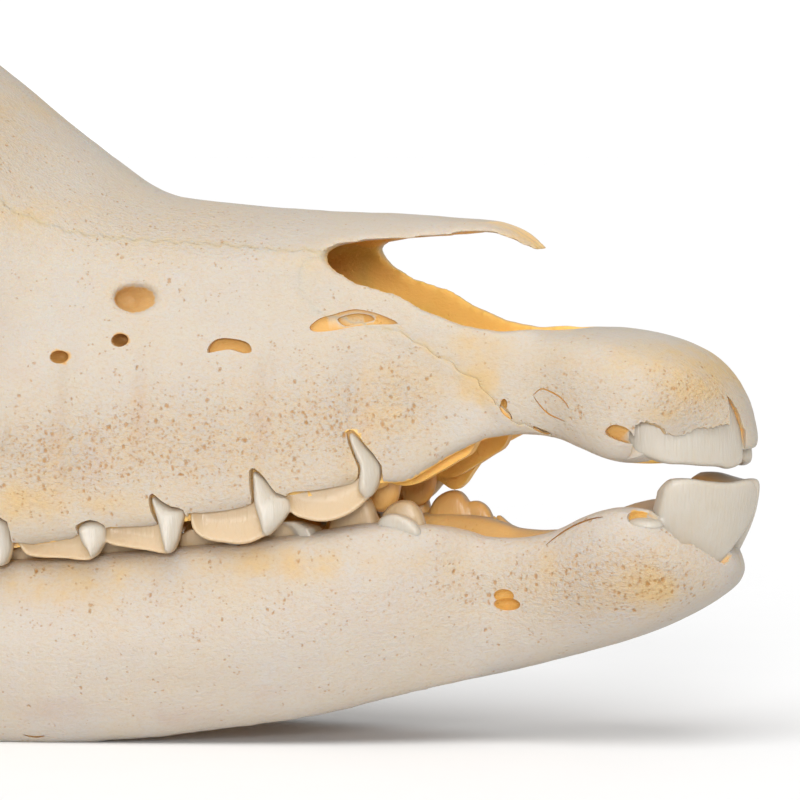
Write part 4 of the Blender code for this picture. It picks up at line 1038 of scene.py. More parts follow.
def face_of_skin(u, z):
    """How far out the face lies at (u, z), between the lines of the cheek and of the nose."""
    cheek_y, cheek_z, nose_y, nose_z = (between(knots, u, column) for knots in (CHEEK, NOSE_EDGE)
                                        for column in (1, 2))
    return cheek_y + (nose_y - cheek_y) * (z - cheek_z) / (nose_z - cheek_z)


def upper_insides(at, normals, outward):
    """How much painted amber glow and painted shade the passage, the palate and the nerve hole of
    the upper skull get.
    """
    u, across, z = at.T
    inner = smooth_step(-outward, -0.35, 0.5)
    # The passage gets a painted amber glow where it faces inwards, the palate where it faces
    # inwards or down.
    passage = within(u, 30, 152) & within(z, 51, 86) & (across < 18.5)
    palate = within(u, 12, 175) & within(z, LOWEST_GUM, between(GUM, u, 2) + 12)
    palate &= across < between(GUM, u, 1) - 1.0
    below = np.maximum(smooth_step(-normals[:, 2], -0.3, 0.5), inner)
    amber = np.maximum(np.where(passage, inner, 0.0), np.where(palate, below, 0.0))
    painted_shade = np.zeros(len(at))
    (hole_u, hole_z), (long, tall) = NERVE_HOLE
    # The tunnel of the nerve hole gets painted glow and painted shade.
    tunnel = ((u - hole_u) / long) ** 2 + ((z - hole_z) / tall) ** 2 < 1
    tunnel &= within(across, 15, face_of_skin(u, z) - 0.4)
    amber[tunnel], painted_shade[tunnel] = 0.7, 0.42
    return amber, painted_shade


def lower_insides(at, outward):
    """How much painted amber glow the inner face of the lower jaw gets, and no painted shade."""
    inner = smooth_step(-outward, -0.3, 0.6) * smooth_step(at[:, 2], 14, 28)
    return 0.75 * inner * plateau(at[:, 0], (14, 26), (150, 180)), np.zeros(len(at))


def shade_cuts(at, holes, floors, amber, painted_shade):
    """Paints shade and an amber glow of light into the insides of the round holes and onto the
    floors of the other cuts.
    """
    for centre, radii, shade in holes:
        away = (((at - centre) / radii) ** 2).sum(axis=1)
        inside = (away < 1.1) & (at[:, 1] < centre[1] - 0.12 * radii[1])
        painted_shade[inside], amber[inside] = shade, 1.0
    for points, glow, shade in floors:
        low, high = points.min(axis=0) - FLOOR_MATCH, points.max(axis=0) + FLOOR_MATCH
        for k in np.flatnonzero(within(at, low, high).all(axis=1)):
            if np.abs(points - at[k]).sum(axis=1).min() < FLOOR_MATCH:
                amber[k], painted_shade[k] = glow, shade


def stains(made, seam, floors, upper=True):
    """Marks where the bone is warm, rosy or porous, and where it gets painted amber glow and
    painted shade.
    """
    at, normals = places_of(made), normals_of(made)
    outward = normals[:, 1] * np.sign(at[:, 1])
    at[:, 1] = np.abs(at[:, 1])
    u, across, z = at.T
    insides = upper_insides(at, normals, outward) if upper else lower_insides(at, outward)
    shade_cuts(at, HOLES if upper else JAW_HOLES, floors, *insides)
    amber, painted_shade = insides
    if upper:
        # Painted shade on the outer faces beside the palate, below the nose.
        under = within(u, 44, 63) & (z < 50) & (across < 12.8)
        painted_shade = np.maximum(painted_shade, np.where(under, 0.22 * smooth_step(outward, -0.1, 0.5), 0.0))
        # A painted amber glow on the inner faces along the gum of the upper teeth.
        gum = within(u, 45, 175) & within(z, LOWEST_GUM, between(GUM, u, 2) + 8)
        amber = np.maximum(amber, np.where(gum, 0.8 * smooth_step(-outward, 0.15, 0.6), 0.0))
    porous = LEAST_POROUS + spots(at, POROUS_SPOTS)
    unseen = plateau(u, (66, 68), (78, 80)) * plateau(z, (70.5, 72), (79, 81))
    # The painted shade and the painted amber glow are stored beside the bone's own warm, rosy,
    # porous and seam marks.
    mark(made, "painted_shade", painted_shade)
    mark(made, "warm", spots(at, WARM_SPOTS))
    mark(made, "rose", spots(at, ROSE_SPOTS))
    mark(made, "porous", porous * (0.25 + 0.75 * smooth_step(outward, -0.1, 0.5)))
    mark(made, "painted_glow", amber)
    mark(made, "seam", (1 - np.clip(seam / SEAM_REACH, 0, 1)) * (1 - unseen))


# Stained, rosy and porous places, with some painted shade in the furrows between the tooth roots:
# centre (u, z), radii and strength.
WARM_SPOTS = [((8, 61), (6, 5), 0.9), ((16, 64), (9, 4), 0.45), ((14, 55), (4, 2), 0.5),
              ((30, 63), (12, 4), 0.25), ((46, 66), (9, 3), 0.5), ((44, 60), (4, 5), 0.55),
              ((50, 82), (16, 4), 0.4), ((40, 81), (5, 3), 0.5), ((70, 80), (12, 3), 0.4),
              ((100, 76), (12, 8), 0.3), ((60, 58), (6, 8), 0.35), ((63, 46), (4, 5), 0.5),
              # The narrow upright spots at u 62.2, 78, 97.8 and 110.2 darken the furrows between
              # the tooth roots: painted shade there, with stain.
              ((62.2, 54), (1.6, 8), 0.4), ((78, 53), (1.5, 10), 0.4),
              ((97.8, 54), (1.8, 11), 0.45), ((110.2, 50), (1.6, 10), 0.4),
              ((52, 60), (7, 7), 0.3), ((43.5, 59), (4, 5), 0.35), ((72, 30), (14, 3), 0.35),
              ((17, 28), (6, 5), 0.3), ((88, 44), (22, 5), 0.25), ((38, 82), (6, 4), 0.7),
              ((115, 40), (10, 5), 0.6), ((100, 40), (8, 3), 0.45), ((80, 31), (22, 4), 0.5),
              ((110, 27), (20, 5), 0.6), ((20, 25), (9, 5), 0.4), ((14, 27), (3, 2.5), 0.8),
              ((33, 30), (3, 4), 0.6), ((52, 30), (8, 5), 0.3), ((130, 100), (10, 12), 0.5),
              ((118, 88), (9, 3), 0.5), ((125, 82), (9, 4), 0.4)]
# Its first four narrow upright spots also darken the furrows between the tooth roots: painted
# shade, with rosy colour.
ROSE_SPOTS = [((62.2, 54), (1.8, 9), 0.6), ((78, 53), (1.8, 11), 0.7), ((97.8, 54), (2, 12), 0.7),
              ((110.2, 50), (1.8, 11), 0.6), ((112, 6), (9, 3), 0.7), ((92, 5), (7, 2.5), 0.8),
              ((78, 9), (4, 2), 0.7), ((62, 24), (12, 6), 0.3), ((125, 70), (8, 8), 0.5),
              ((120, 60), (10, 7), 0.4), ((104, 46), (3, 6), 0.5), ((150, 95), (14, 12), 0.3),
              ((240, 110), (20, 18), 0.3)]
POROUS_SPOTS = [((86, 50), (24, 11), 0.85), ((66, 55), (12, 10), 0.5), ((56, 57), (8, 9), 0.6),
                ((112, 47), (14, 9), 0.8), ((9, 58), (8, 6), 0.9), ((28, 58), (12, 7), 0.45),
                ((26, 28), (14, 8), 0.85), ((14, 30), (8, 7), 0.6), ((45, 27), (12, 8), 0.4),
                ((90, 26), (40, 10), 0.3), ((95, 86), (22, 9), 0.3), ((130, 100), (16, 16), 0.4),
                ((240, 112), (26, 16), 0.35), ((288, 100), (10, 14), 0.5)]
# The two lobes of the mental hole and the crypt beside the lower incisor, each with centre, radii
# and how much painted shade its inside gets, and the bud in the crypt.
JAW_HOLES = [((39.9, 13.6, 23.6), (2.3, 2.2, 1.05), 0.38),
             ((40.4, 13.9, 25.0), (1.75, 1.6, 1.1), 0.4),
             ((17.0, 14.4, 38.2), (2.4, 2.0, 1.6), 0.35)]
BUD = ((17.0, 13.0, 36.9), (3.3, 2.4, 1.3))
BUD_FROM = 10.5  # how far across the lower incisor its bud begins


# Teeth.

def word(side):
    """The side's name."""
    return "left" if side > 0 else "right"


GUM_LINE, CREST_LINE = line(GUM), line(CREST)


def gum_face(u, z):
    """How far from the midline the outer face of the upper tooth row lies."""
    (gum_y, gum_z), (crest_y, crest_z) = GUM_LINE(u), CREST_LINE(u)
    if z > gum_z:
        return gum_y + (crest_y - gum_y) * (z - gum_z) / (crest_z - gum_z)
    return gum_y + 0.1 * (gum_z - z)


def nearest_on(point, core):
    """The point of a line of straight pieces that lies nearest."""
    best, found = 1e9, None
    for a, b in zip(core, core[1:]):
        a, b = np.array(a, float), np.array(b, float)
        t = min(max((point - a) @ (b - a) / ((b - a) @ (b - a)), 0.0), 1.0)
        goal = a + (b - a) * t
        away = float(np.hypot(*(point - goal)))
        if away < best:
            best, found = away, goal
    return found


def pad(outline, core, profile, at, side, per_span=4):
    """A plate of tooth: rings go from its outline to its core line, at the rises of the profile."""
    rings = []
    for share, rise in profile:
        ring = []
        for point in rounded(outline, per_span):
            a, b = point + (nearest_on(point, core) - point) * share
            u, y, z = at(a, b, rise)
            ring.append((u, y * side, z))
        rings.append(ring)
    return shell(rings)


# Profiles from the outline to the core line of a plate: how near to the core, and the rise.
LOBE = [(0.6, -3.8), (0.25, -3.0), (0.06, -2.0), (0.0, -1.3), (0.02, -0.9), (0.1, -0.72),
        (0.5, -1.3), (0.95, -1.6)]
LEAF = [(0.92, -1.0), (0.45, -0.96), (0.14, -0.76), (0.0, -0.3), (0.0, 0.3), (0.14, 0.76),
        (0.45, 0.96), (0.92, 1.0)]
# The front lower teeth: outline of (u, z), how far out they stand, half their thickness, and the
# sides on which they have come through.
LOWER_LEAVES = [
    ([(61.4, 33), (61.3, 37), (60.1, 39.2), (57.9, 40.4), (55.9, 40.2), (54.5, 38.6),
      (53.7, 36.2), (53.4, 33)], 14.0, 1.9, SIDES),
    ([(69.6, 33), (69.4, 38), (67.7, 40.9), (65.2, 41.9), (63.2, 41.1), (62.0, 38.8),
      (61.4, 36), (61.2, 33)], 15.2, 1.9, SIDES),
    ([(56.4, 32), (55.6, 36.6), (54.4, 38.5), (52.6, 38.7), (51.0, 37.6), (50.0, 35.4),
      (49.2, 32)], 13.8, 1.3, (1,)),
    ([(53.6, 31.5), (52.9, 34.5), (51.3, 35.8), (49.6, 34.6), (48.4, 33.2), (48.0, 31.5)],
     10.6, 0.9, (1,)),
    ([(50.0, 32), (49.8, 36.4), (49.0, 35.7), (47.8, 34.0), (47.2, 32.2)], 12.4, 0.5, (1,)),
    ([(49.8, 31.5), (49.6, 36.4), (47.2, 34.9), (44.4, 33.4), (43.2, 31.5)], 14.2, 0.8, (1,)),
    ([(61.2, 34.5), (60.9, 36.8), (60.0, 37.9), (58.1, 38.4), (55.5, 37.6), (54.0, 36.4),
      (53.8, 34.5)], 17.2, 1.3, (-1,))]
# The inner cusps of the first upper tooth: outline, how far out they stand, half their thickness.
UPPER_LEAVES = [
    ([(58.6, 49), (58.9, 44.6), (60.0, 42.8), (62.2, 42.2), (64.6, 43.4), (65.4, 49)], 15.5, 2.2),
    ([(65.0, 49), (65.4, 44.4), (67.2, 42.6), (70.0, 42.4), (72.4, 43.8), (73.2, 49)], 16.5, 2.4),
    ([(59.4, 50), (59.2, 42.2), (60.2, 39.2), (62.2, 38.1), (64.6, 38.8), (66.0, 42), (66.2, 50)],
     10.4, 1.7),
    ([(66.2, 50), (66.2, 41), (67.4, 38), (69.6, 37.1), (72.2, 38), (73.6, 41), (73.8, 50)],
     11.0, 1.9)]

# The outer walls of the upper cheek teeth and the ridges on them: outline and core line.
STYLE = [(0.2, -3.0), (0.0, -1.5), (0.0, -0.3), (0.1, 0.0), (0.5, 0.55), (0.96, 0.85)]
UPPER_WALLS = [
    ([(59.6, 46), (59.8, 43), (61, 41.2), (63.8, 38.6), (67.9, 37.2), (72.1, 38), (73.4, 39),
      (75.4, 41), (75, 44.5), (66, 46.5), (61, 49)], [(62.8, 43), (66.4, 40.6), (71.4, 40.8)]),
    ([(74, 40.5), (74.4, 37.4), (75.5, 36), (76.9, 35), (80.1, 33.6), (84, 33.8), (86.9, 34.4),
      (88.7, 35.9), (89.2, 37.9), (89, 41.5), (79, 43.5), (75, 44)],
     [(78.2, 38.4), (82, 37.2), (86.3, 37.4)]),
    ([(90.3, 38.4), (90.5, 36.4), (91, 34.2), (92.3, 32), (96, 32.4), (100.4, 33), (102.2, 33.4),
      (103.4, 34.6), (104, 37.5), (103, 40), (92, 41.5), (90.4, 40.5)],
     [(95, 34.6), (98, 35), (101.2, 35.4)]),
    ([(102.9, 35), (103.3, 33.2), (104.8, 31.2), (106.1, 30.7), (109.7, 31), (115.5, 31.3),
      (117.3, 33), (117.8, 34.5), (117.6, 37), (110, 38), (103.5, 39)],
     [(107.6, 33), (111, 33), (115, 33.6)]),
    ([(118.4, 35), (118.3, 32.5), (119.2, 30.4), (121, 29.6), (126, 29.8), (131, 30.4),
      (132.3, 31.6), (132.8, 35), (126, 37.5), (119, 38)], [(122, 33), (125, 32.6), (129.5, 33)]),
    ([(132.4, 35), (132.5, 32), (134, 30), (136, 29.4), (141, 29.8), (146, 30.6), (147.4, 33),
      (147.2, 36), (140, 37.5), (133, 37.8)], [(136.4, 33), (140, 32.6), (144.5, 33)])]
UPPER_STYLES = [
    ([(64, 51.7), (62.2, 49.9), (59.4, 46.4), (59.8, 43), (61, 41.2), (62.4, 42.2), (62.5, 44.3),
      (62.4, 46.1), (63.4, 48.2), (64.4, 51.2)], [(63.6, 50.4), (61.9, 46.8), (61.4, 43)]),
    ([(78.8, 45.4), (77.2, 44), (75.4, 41.7), (73.6, 41), (73.3, 39.1), (75.5, 36), (76.9, 35),
      (77.9, 37.6), (78.8, 40.4), (79, 42.5), (79.2, 45.2)],
     [(78.6, 44.6), (78.2, 41), (76.8, 36.4)]),
    ([(95, 41.4), (93.6, 40.3), (91.9, 39.4), (90.1, 39), (90.5, 36.4), (91, 34.2), (92.3, 32),
      (93.4, 34.2), (93.9, 36.4), (95.2, 40.7)], [(94.8, 40.6), (93.3, 36.5), (92.4, 32.8)]),
    ([(107.1, 36.3), (105, 37.2), (102.9, 36.4), (102.9, 34.5), (103.3, 33.2), (104.8, 31.2),
      (105.2, 32.3), (106.2, 33.2), (106.9, 34.5)], [(106.4, 35.6), (105.8, 33.8), (104.9, 31.8)]),
    ([(120.9, 37.6), (118.9, 36.8), (118.4, 34), (119.2, 30.4), (120.4, 29.7), (121, 32),
      (121.3, 35)], [(120.6, 36.6), (120, 33.5), (119.8, 30.4)]),
    ([(136, 37), (133.6, 36.6), (132.4, 34), (134, 30), (135, 29.8), (135.8, 32.5), (136.2, 35)],
     [(135.2, 36), (134.8, 33), (134.6, 30.4)])]

# The inner lobes of the cheek teeth: front, back and the height of the tip.
UPPER_LOBES = [(73.8, 90.0, 32.9), (90.9, 103.2, 31.0), (103.4, 118.8, 29.9),
               (119.5, 133.0, 29.2), (133.2, 148.0, 28.8)]
LOWER_LOBES = [(69.8, 80.5, 37.0), (81.3, 94.0, 35.6), (94.2, 108.0, 34.2), (108.8, 122.5, 32.4),
               (122.7, 138.0, 30.9)]
TOOTH_CLEARANCE = 1.0   # between the upper and the lower tips
LOWER_FACE = 2.4        # from the middle of the jaw's upper edge to the lower teeth's outer face
# Levels of a lobe from root to tip: share of the height, how far the front and the back draw in,
# how much it thins, how far it leans out, and how high the ridge on its front corner is.
LOBE_LEVELS = [(0.0, 0.3, 0.0, 0.0, -2.4, 2.6), (0.5, 0.0, 0.0, 0.0, -0.4, 1.4),
               (0.86, 1.2, 0.7, 0.25, 0.2, 0.7), (1.0, 3.6, 2.6, 0.62, 0.4, 0.3)]


def tooth_lobe(front, back, outer, inner, root, tip, side):
    """One lobe of a cheek tooth's crown, with a ridge on its front corner."""
    rings = []
    for share, front_in, back_in, thinned, lean, ridge in LOBE_LEVELS:
        z = root + (tip - root) * share
        a, b = front + front_in, back - back_in
        y_out = outer + lean
        y_in = inner + (y_out - inner) * thinned
        ring = [(a, y_out - 0.9), (a + 0.6, y_out + ridge), (a + 2.6, y_out + ridge * 0.8),
                (a + 4.0, y_out - 0.3), (b - 0.6, y_out), (b, y_out - 0.8), (b, y_in + 0.6),
                (b - 1.2, y_in), (a + 1.2, y_in), (a, y_in + 0.6)]
        rings.append([(u, y * side, z) for u, y in ring])
    return shell(rings)


def leaf(outline, across, half, side):
    """A rounded upright plate of tooth with this outline of (u, z)."""
    inner = np.mean(np.array(outline), axis=0)
    core = [(inner[0] + 0.6, inner[1] - 0.5), (inner[0] - 0.6, inner[1] + 0.5)]
    return pad(outline, core, LEAF,
               lambda u, z, rise: (u, across + rise * half + 0.06 * (z - inner[1]), z), side)


def upper_row(side, sizes):
    """The upper cheek teeth of one side: outer walls with their ridges, and inner cusps."""
    def on_face(u, z, rise):
        return u, gum_face(u, z) + rise, z

    shells = [pad(outline, core, profile, on_face, side)
              for plates, profile in ((UPPER_WALLS, LOBE), (UPPER_STYLES, STYLE))
              for outline, core in plates]
    shells += [leaf(outline, across, half, side) for outline, across, half in UPPER_LEAVES]
    lower_top = line([((front + back) / 2, tip) for front, back, tip in LOWER_LOBES])
    for front, back, tip in UPPER_LOBES:
        y, z = GUM_LINE((front + back) / 2)
        cusp = lower_top((front + back) / 2)[0] + TOOTH_CLEARANCE
        shells.append(tooth_lobe(front + 0.6, back - 0.4, y - 4.0, y - 13.6, z + 9, cusp, side))
    return melt(solid("upper_cheek_teeth_" + word(side), shells), sizes.tooth_mesh, 3)


def lower_row(side, sizes):
    """The lower cheek teeth of one side, of which the front ones have just come through."""
    top = line(JAW_TOP)
    shells = [leaf(outline, across, half, side)
              for outline, across, half, sides in LOWER_LEAVES if side in sides]
    for front, back, tip in LOWER_LOBES:
        y, z = top((front + back) / 2)[:2]
        shells.append(tooth_lobe(front, back, y + LOWER_FACE, y - 4.6, z - 5, tip, side))
    return melt(solid("lower_cheek_teeth_" + word(side), shells), sizes.tooth_mesh, 4)


def stain_row(row, face, lobes):
    """Marks a painted amber glow where the teeth lie inside their outer face or face inwards, and
    the warm root colour near the gum and on the lobes, which is partly painted shade.
    """
    places = places_of(row)
    sunk_in = face - np.abs(places[:, 1])
    inner = -normals_of(row)[:, 1] * np.sign(places[:, 1])
    mark(row, "painted_glow", np.maximum(smooth_step(sunk_in, 2.4, 4.4),
                                 0.9 * smooth_step(inner, 0.1, 0.6)))
    mark(row, "warm", np.maximum(smooth_step(sunk_in, 0.35, 0.95),
                                 lobes * smooth_step(sunk_in, -0.5, 0.15)))


# The incisors: profile, then outline and core line in (s, z), where s runs across the tooth.
CROWN = [(0.5, -4.6), (0.16, -3.4), (0.0, -2.0), (0.0, -1.0), (0.03, -0.35), (0.12, 0.0),
         (0.5, 0.22), (0.9, 0.3)]
UPPER_CROWN = [(12, 53.2), (12.2, 52.3), (11.9, 51.1), (11.5, 50), (10.8, 48.9), (9.3, 48.2),
               (7.3, 47.3), (5.6, 46.9), (3.4, 46.8), (0.2, 46.5), (-2.8, 46.3), (-4.6, 45.9),
               (-7, 46.4), (-8, 47.3), (-8.4, 51.4), (-7.9, 53.5), (-7, 56), (-5.2, 58.6),
               (-3, 58.5), (0, 58.5), (6, 58), (10, 56.5), (11.6, 54.8)]
UPPER_CORE = [(8.8, 51.6), (4, 51.6), (0, 51.8), (-4, 52)]
LOWER_CROWN = [(8.7, 42.9), (7.8, 44.2), (7.0, 44.5), (4.7, 44.5), (1.3, 44), (-2.4, 43.7),
               (-5.7, 44.0), (-7.3, 43.7), (-8.5, 42.4), (-8.8, 41.3), (-8.9, 38.8), (-7.3, 35.7),
               (-6, 34), (-4.5, 32), (-3.2, 30.3), (-1, 28), (2, 28), (5.6, 30), (8.2, 33),
               (8.8, 37.3), (9.0, 39.4), (8.8, 41.7)]
LOWER_CORE = [(6.6, 40), (3, 38.6), (0, 38), (-4, 38.4)]
INCISOR_SWING = math.radians(49.0)
INCISOR_BOW = 0.028


class CrownPlace:
    """Places on an incisor: s across it from its middle, z its height, rise off its face."""

    def __init__(self, root, tip):
        self.root, self.tip = np.array(root, float), np.array(tip, float)

    def base(self, z):
        """The tooth's middle (u, y) at the height z, and how far its face stands off it."""
        share = (z - self.root[2]) / (self.tip[2] - self.root[2])
        u = self.root[0] + (self.tip[0] - self.root[0]) * share
        y = self.root[1] + (self.tip[1] - self.root[1]) * share
        return u, y, 3.6 - 0.9 * np.clip(share, 0.0, 1.0)

    def __call__(self, s, z, rise):
        """The skull place of a point of the tooth, kept off the midline."""
        u, y, thick = self.base(z)
        bow = INCISOR_BOW * s * s - thick - rise
        u += s * math.sin(INCISOR_SWING) + bow * math.cos(INCISOR_SWING)
        y += s * math.cos(INCISOR_SWING) - bow * math.sin(INCISOR_SWING)
        return u, max(y, 0.25), z

    def inverse(self, places):
        """The s and the rise of places on the left side."""
        u, y, thick = self.base(places[:, 2])
        du, dy = places[:, 0] - u, places[:, 1] - y
        s = du * math.sin(INCISOR_SWING) + dy * math.cos(INCISOR_SWING)
        bow = du * math.cos(INCISOR_SWING) - dy * math.sin(INCISOR_SWING)
        return s, INCISOR_BOW * s * s - thick - bow


UPPER_AT = CrownPlace((11.1, 6.9, 58), (9.1, 7.7, 46.1))
LOWER_AT = CrownPlace((11.1, 3.9, 27), (7.3, 5.9, 44))
# The edges of the bone over the incisors' faces, in (s, z).
UPPER_GUM = [(-8.2, 52.2), (-7.9, 52), (-7.3, 54.7), (-6.3, 56.6), (-5, 58.1), (-4.9, 53.4),
             (-3, 53.3), (-1.2, 52.8), (1.4, 52.9), (3.1, 51.9), (4.6, 51.5), (6.5, 52),
             (7.7, 53.2), (9, 53.7), (10.5, 54.1), (11.3, 53.9), (12.0, 53.3)]
LOWER_GUM = [(-7.4, 36.0), (-6.2, 33.6), (-5, 31.8), (-3.2, 30.3), (-1.9, 30.5), (0.7, 31.9),
             (2.8, 33.1), (4.1, 33.7), (6.4, 34.1), (8.1, 35.8), (9.6, 37.3), (10.4, 38.6)]


def incisor(name, outline, core, at, side, sizes, buds=()):
    """A central incisor: a bowed blade with a rounded edge, set in the front of the muzzle."""
    made = solid(name + "_" + word(side),
                 [pad(outline, core, CROWN, at, side, 5)]
                 + [ball((u, y * side, z), radii) for (u, y, z), radii in buds])
    return melt(made, sizes.tooth_mesh, 3)


# Materials.

def feed(tree, socket, value):
    """Sets an input to a value, or links another node's output to it."""
    if isinstance(value, bpy.types.NodeSocket):
        tree.links.new(value, socket)
    else:
        socket.default_value = value


def add(tree, kind, inputs=None, **values):
    """A shader node with these settings, its inputs given as values or as sockets to link."""
    made = tree.nodes.new(kind)
    for key, value in values.items():
        setattr(made, key, value)
    for key, value in (inputs or {}).items():
        feed(tree, made.inputs[key], value)
    return made


def sums(tree, operation, *values, clamp=False):
    """A Math node's result."""
    return add(tree, "ShaderNodeMath", dict(enumerate(values)), operation=operation,
               use_clamp=clamp).outputs[0]


def blended(tree, share, under, over):
    """The colour under, covered by the colour over to that share."""
    under, over = (colour if isinstance(colour, bpy.types.NodeSocket) else (*colour, 1.0)
                   for colour in (under, over))
    return add(tree, "ShaderNodeMix", {0: share, 6: under, 7: over}, data_type="RGBA",
               blend_type="MIX").outputs[2]


def layered(tree, paint, layers):
    """Colours laid over each other, each with a mask and its strength."""
    for share, strength, over in layers:
        paint = blended(tree, sums(tree, "MULTIPLY", share, strength), paint, over)
    return paint


def new_group(name, numbers, outputs):
    """An empty shader group with these named numbers and a Stretch in, and numbers out."""
    group = bpy.data.node_groups.new(name, "ShaderNodeTree")
    for label, value in {**numbers, "Stretch": (1.0, 1.0, 1.0)}.items():
        kind = "NodeSocketVector" if label == "Stretch" else "NodeSocketFloat"
        socket = group.interface.new_socket(label, in_out="INPUT", socket_type=kind)
        socket.default_value = value
    for label in outputs:
        group.interface.new_socket(label, in_out="OUTPUT", socket_type="NodeSocketFloat")
    return group, group.nodes.new("NodeGroupInput"), group.nodes.new("NodeGroupOutput")


def stretched(group, ends):
    """The place on the object, scaled along each axis by the group's Stretch."""
    coordinates = add(group, "ShaderNodeTexCoord").outputs["Object"]
    return add(group, "ShaderNodeVectorMath", {0: coordinates, 1: ends.outputs["Stretch"]},
               operation="MULTIPLY").outputs[0]


def pores_group():
    """Scattered pits of many sizes, more and larger where the bone is more porous."""
    group, ends, out = new_group("Bone Pores", {"Porosity": 0.3, "Cell Size": 0.001},
                                 ["Pits", "Height"])
    places = stretched(group, ends)
    scale = sums(group, "DIVIDE", 1.0, ends.outputs["Cell Size"])
    # Places are bent by noise, so that the pits aren't round.
    bend = add(group, "ShaderNodeTexNoise", {"Vector": places, "Detail": 2.0,
                                            "Scale": sums(group, "MULTIPLY", scale, 1.3)})
    shift = add(group, "ShaderNodeVectorMath", {0: bend.outputs["Color"], 1: (0.5, 0.5, 0.5)},
                operation="SUBTRACT").outputs[0]
    reach = sums(group, "MULTIPLY", ends.outputs["Cell Size"], 0.8)
    shift = add(group, "ShaderNodeVectorMath", {0: shift, "Scale": reach},
                operation="SCALE").outputs[0]
    bent = add(group, "ShaderNodeVectorMath", {0: places, 1: shift}, operation="ADD")
    cells = add(group, "ShaderNodeTexVoronoi", {"Vector": bent.outputs[0], "Scale": scale},
                feature="F1")
    # A cell holds a pit where its own chance, the crowding around it and the porosity allow.
    chance = add(group, "ShaderNodeSeparateColor", {0: cells.outputs["Color"]}).outputs[0]
    herd = add(group, "ShaderNodeTexNoise", {"Vector": places, "Detail": 2.0,
                                            "Scale": sums(group, "MULTIPLY", scale, 0.22)})
    crowd = sums(group, "MULTIPLY_ADD", herd.outputs["Fac"], 2.4, -1.2)
    crowd = sums(group, "ADD", crowd, sums(group, "ADD", chance, ends.outputs["Porosity"]))
    radius = sums(group, "MULTIPLY", sums(group, "SUBTRACT", crowd, 1.0), 0.85)
    radius = sums(group, "MINIMUM", radius, 0.42)
    pit = sums(group, "MULTIPLY", sums(group, "SUBTRACT", radius, cells.outputs["Distance"]), 3.6,
               clamp=True)
    group.links.new(pit, out.inputs["Pits"])
    group.links.new(sums(group, "MULTIPLY", pit, -1.0), out.inputs["Height"])


def stain_group():
    """A patchy stain that thickens with its amount."""
    group, ends, out = new_group("Bone Stain", {"Amount": 0.5, "Patch Size": 0.004}, ["Stain"])
    scale = sums(group, "DIVIDE", 1.0, ends.outputs["Patch Size"])
    noise = add(group, "ShaderNodeTexNoise", {"Vector": stretched(group, ends), "Scale": scale,
                                             "Detail": 6.0, "Roughness": 0.68})
    patches = sums(group, "MULTIPLY_ADD", noise.outputs["Fac"], 3.0, -1.5)
    stain = sums(group, "MULTIPLY",
                 sums(group, "ADD", ends.outputs["Amount"], patches, clamp=True),
                 sums(group, "MULTIPLY", ends.outputs["Amount"], 2.0, clamp=True), clamp=True)
    group.links.new(stain, out.inputs["Stain"])


def grain_group():
    """Fine streaks and specks, drawn out along one direction by the stretch."""
    group, ends, out = new_group("Fine Grain", {"Size": 0.0006}, ["Grain"])
    scale = sums(group, "DIVIDE", 1.0, ends.outputs["Size"])
    noise = add(group, "ShaderNodeTexNoise", {"Vector": stretched(group, ends), "Scale": scale,
                                             "Detail": 3.0, "Roughness": 0.6})
    group.links.new(noise.outputs["Fac"], out.inputs["Grain"])


def make_groups():
    """The effects that several materials share."""
    pores_group()
    stain_group()
    grain_group()


def grouped(tree, name, **inputs):
    """One of the shared groups, placed in a material with its own values."""
    made = tree.nodes.new("ShaderNodeGroup")
    made.node_tree = bpy.data.node_groups[name]
    for key, value in inputs.items():
        feed(tree, made.inputs[key.replace("_", " ")], value)
    return made.outputs


def stored(tree, name):
    """A value that is stored at the vertices."""
    return add(tree, "ShaderNodeAttribute", attribute_name=name).outputs["Fac"]


def level(tree, value, low, high):
    """How far a value lies between two levels, from 0 to 1."""
    return add(tree, "ShaderNodeMapRange", {"Value": value, "From Min": low, "From Max": high},
               clamp=True).outputs[0]


def new_material(name):
    """A material that is ready for nodes, and its tree."""
    material = bpy.data.materials.new(name)
    material.use_nodes = True
    return material, material.node_tree


def finish(tree, paint, roughness, height, strength, reach, looks, sizes):
    """Sets the shader's colour, roughness and bump, and how far light travels inside."""
    bump = add(tree, "ShaderNodeBump", {"Height": height, "Strength": strength,
                                        "Distance": sizes.pit_depth})
    shader = tree.nodes["Principled BSDF"]
    for key, value in (("Base Color", paint), ("Roughness", roughness),
                       ("Normal", bump.outputs[0]), ("Subsurface Weight", looks.glow),
                       ("Subsurface Radius", reach), ("Subsurface Scale", sizes.glow_reach)):
        feed(tree, shader.inputs[key], value)
    return shader


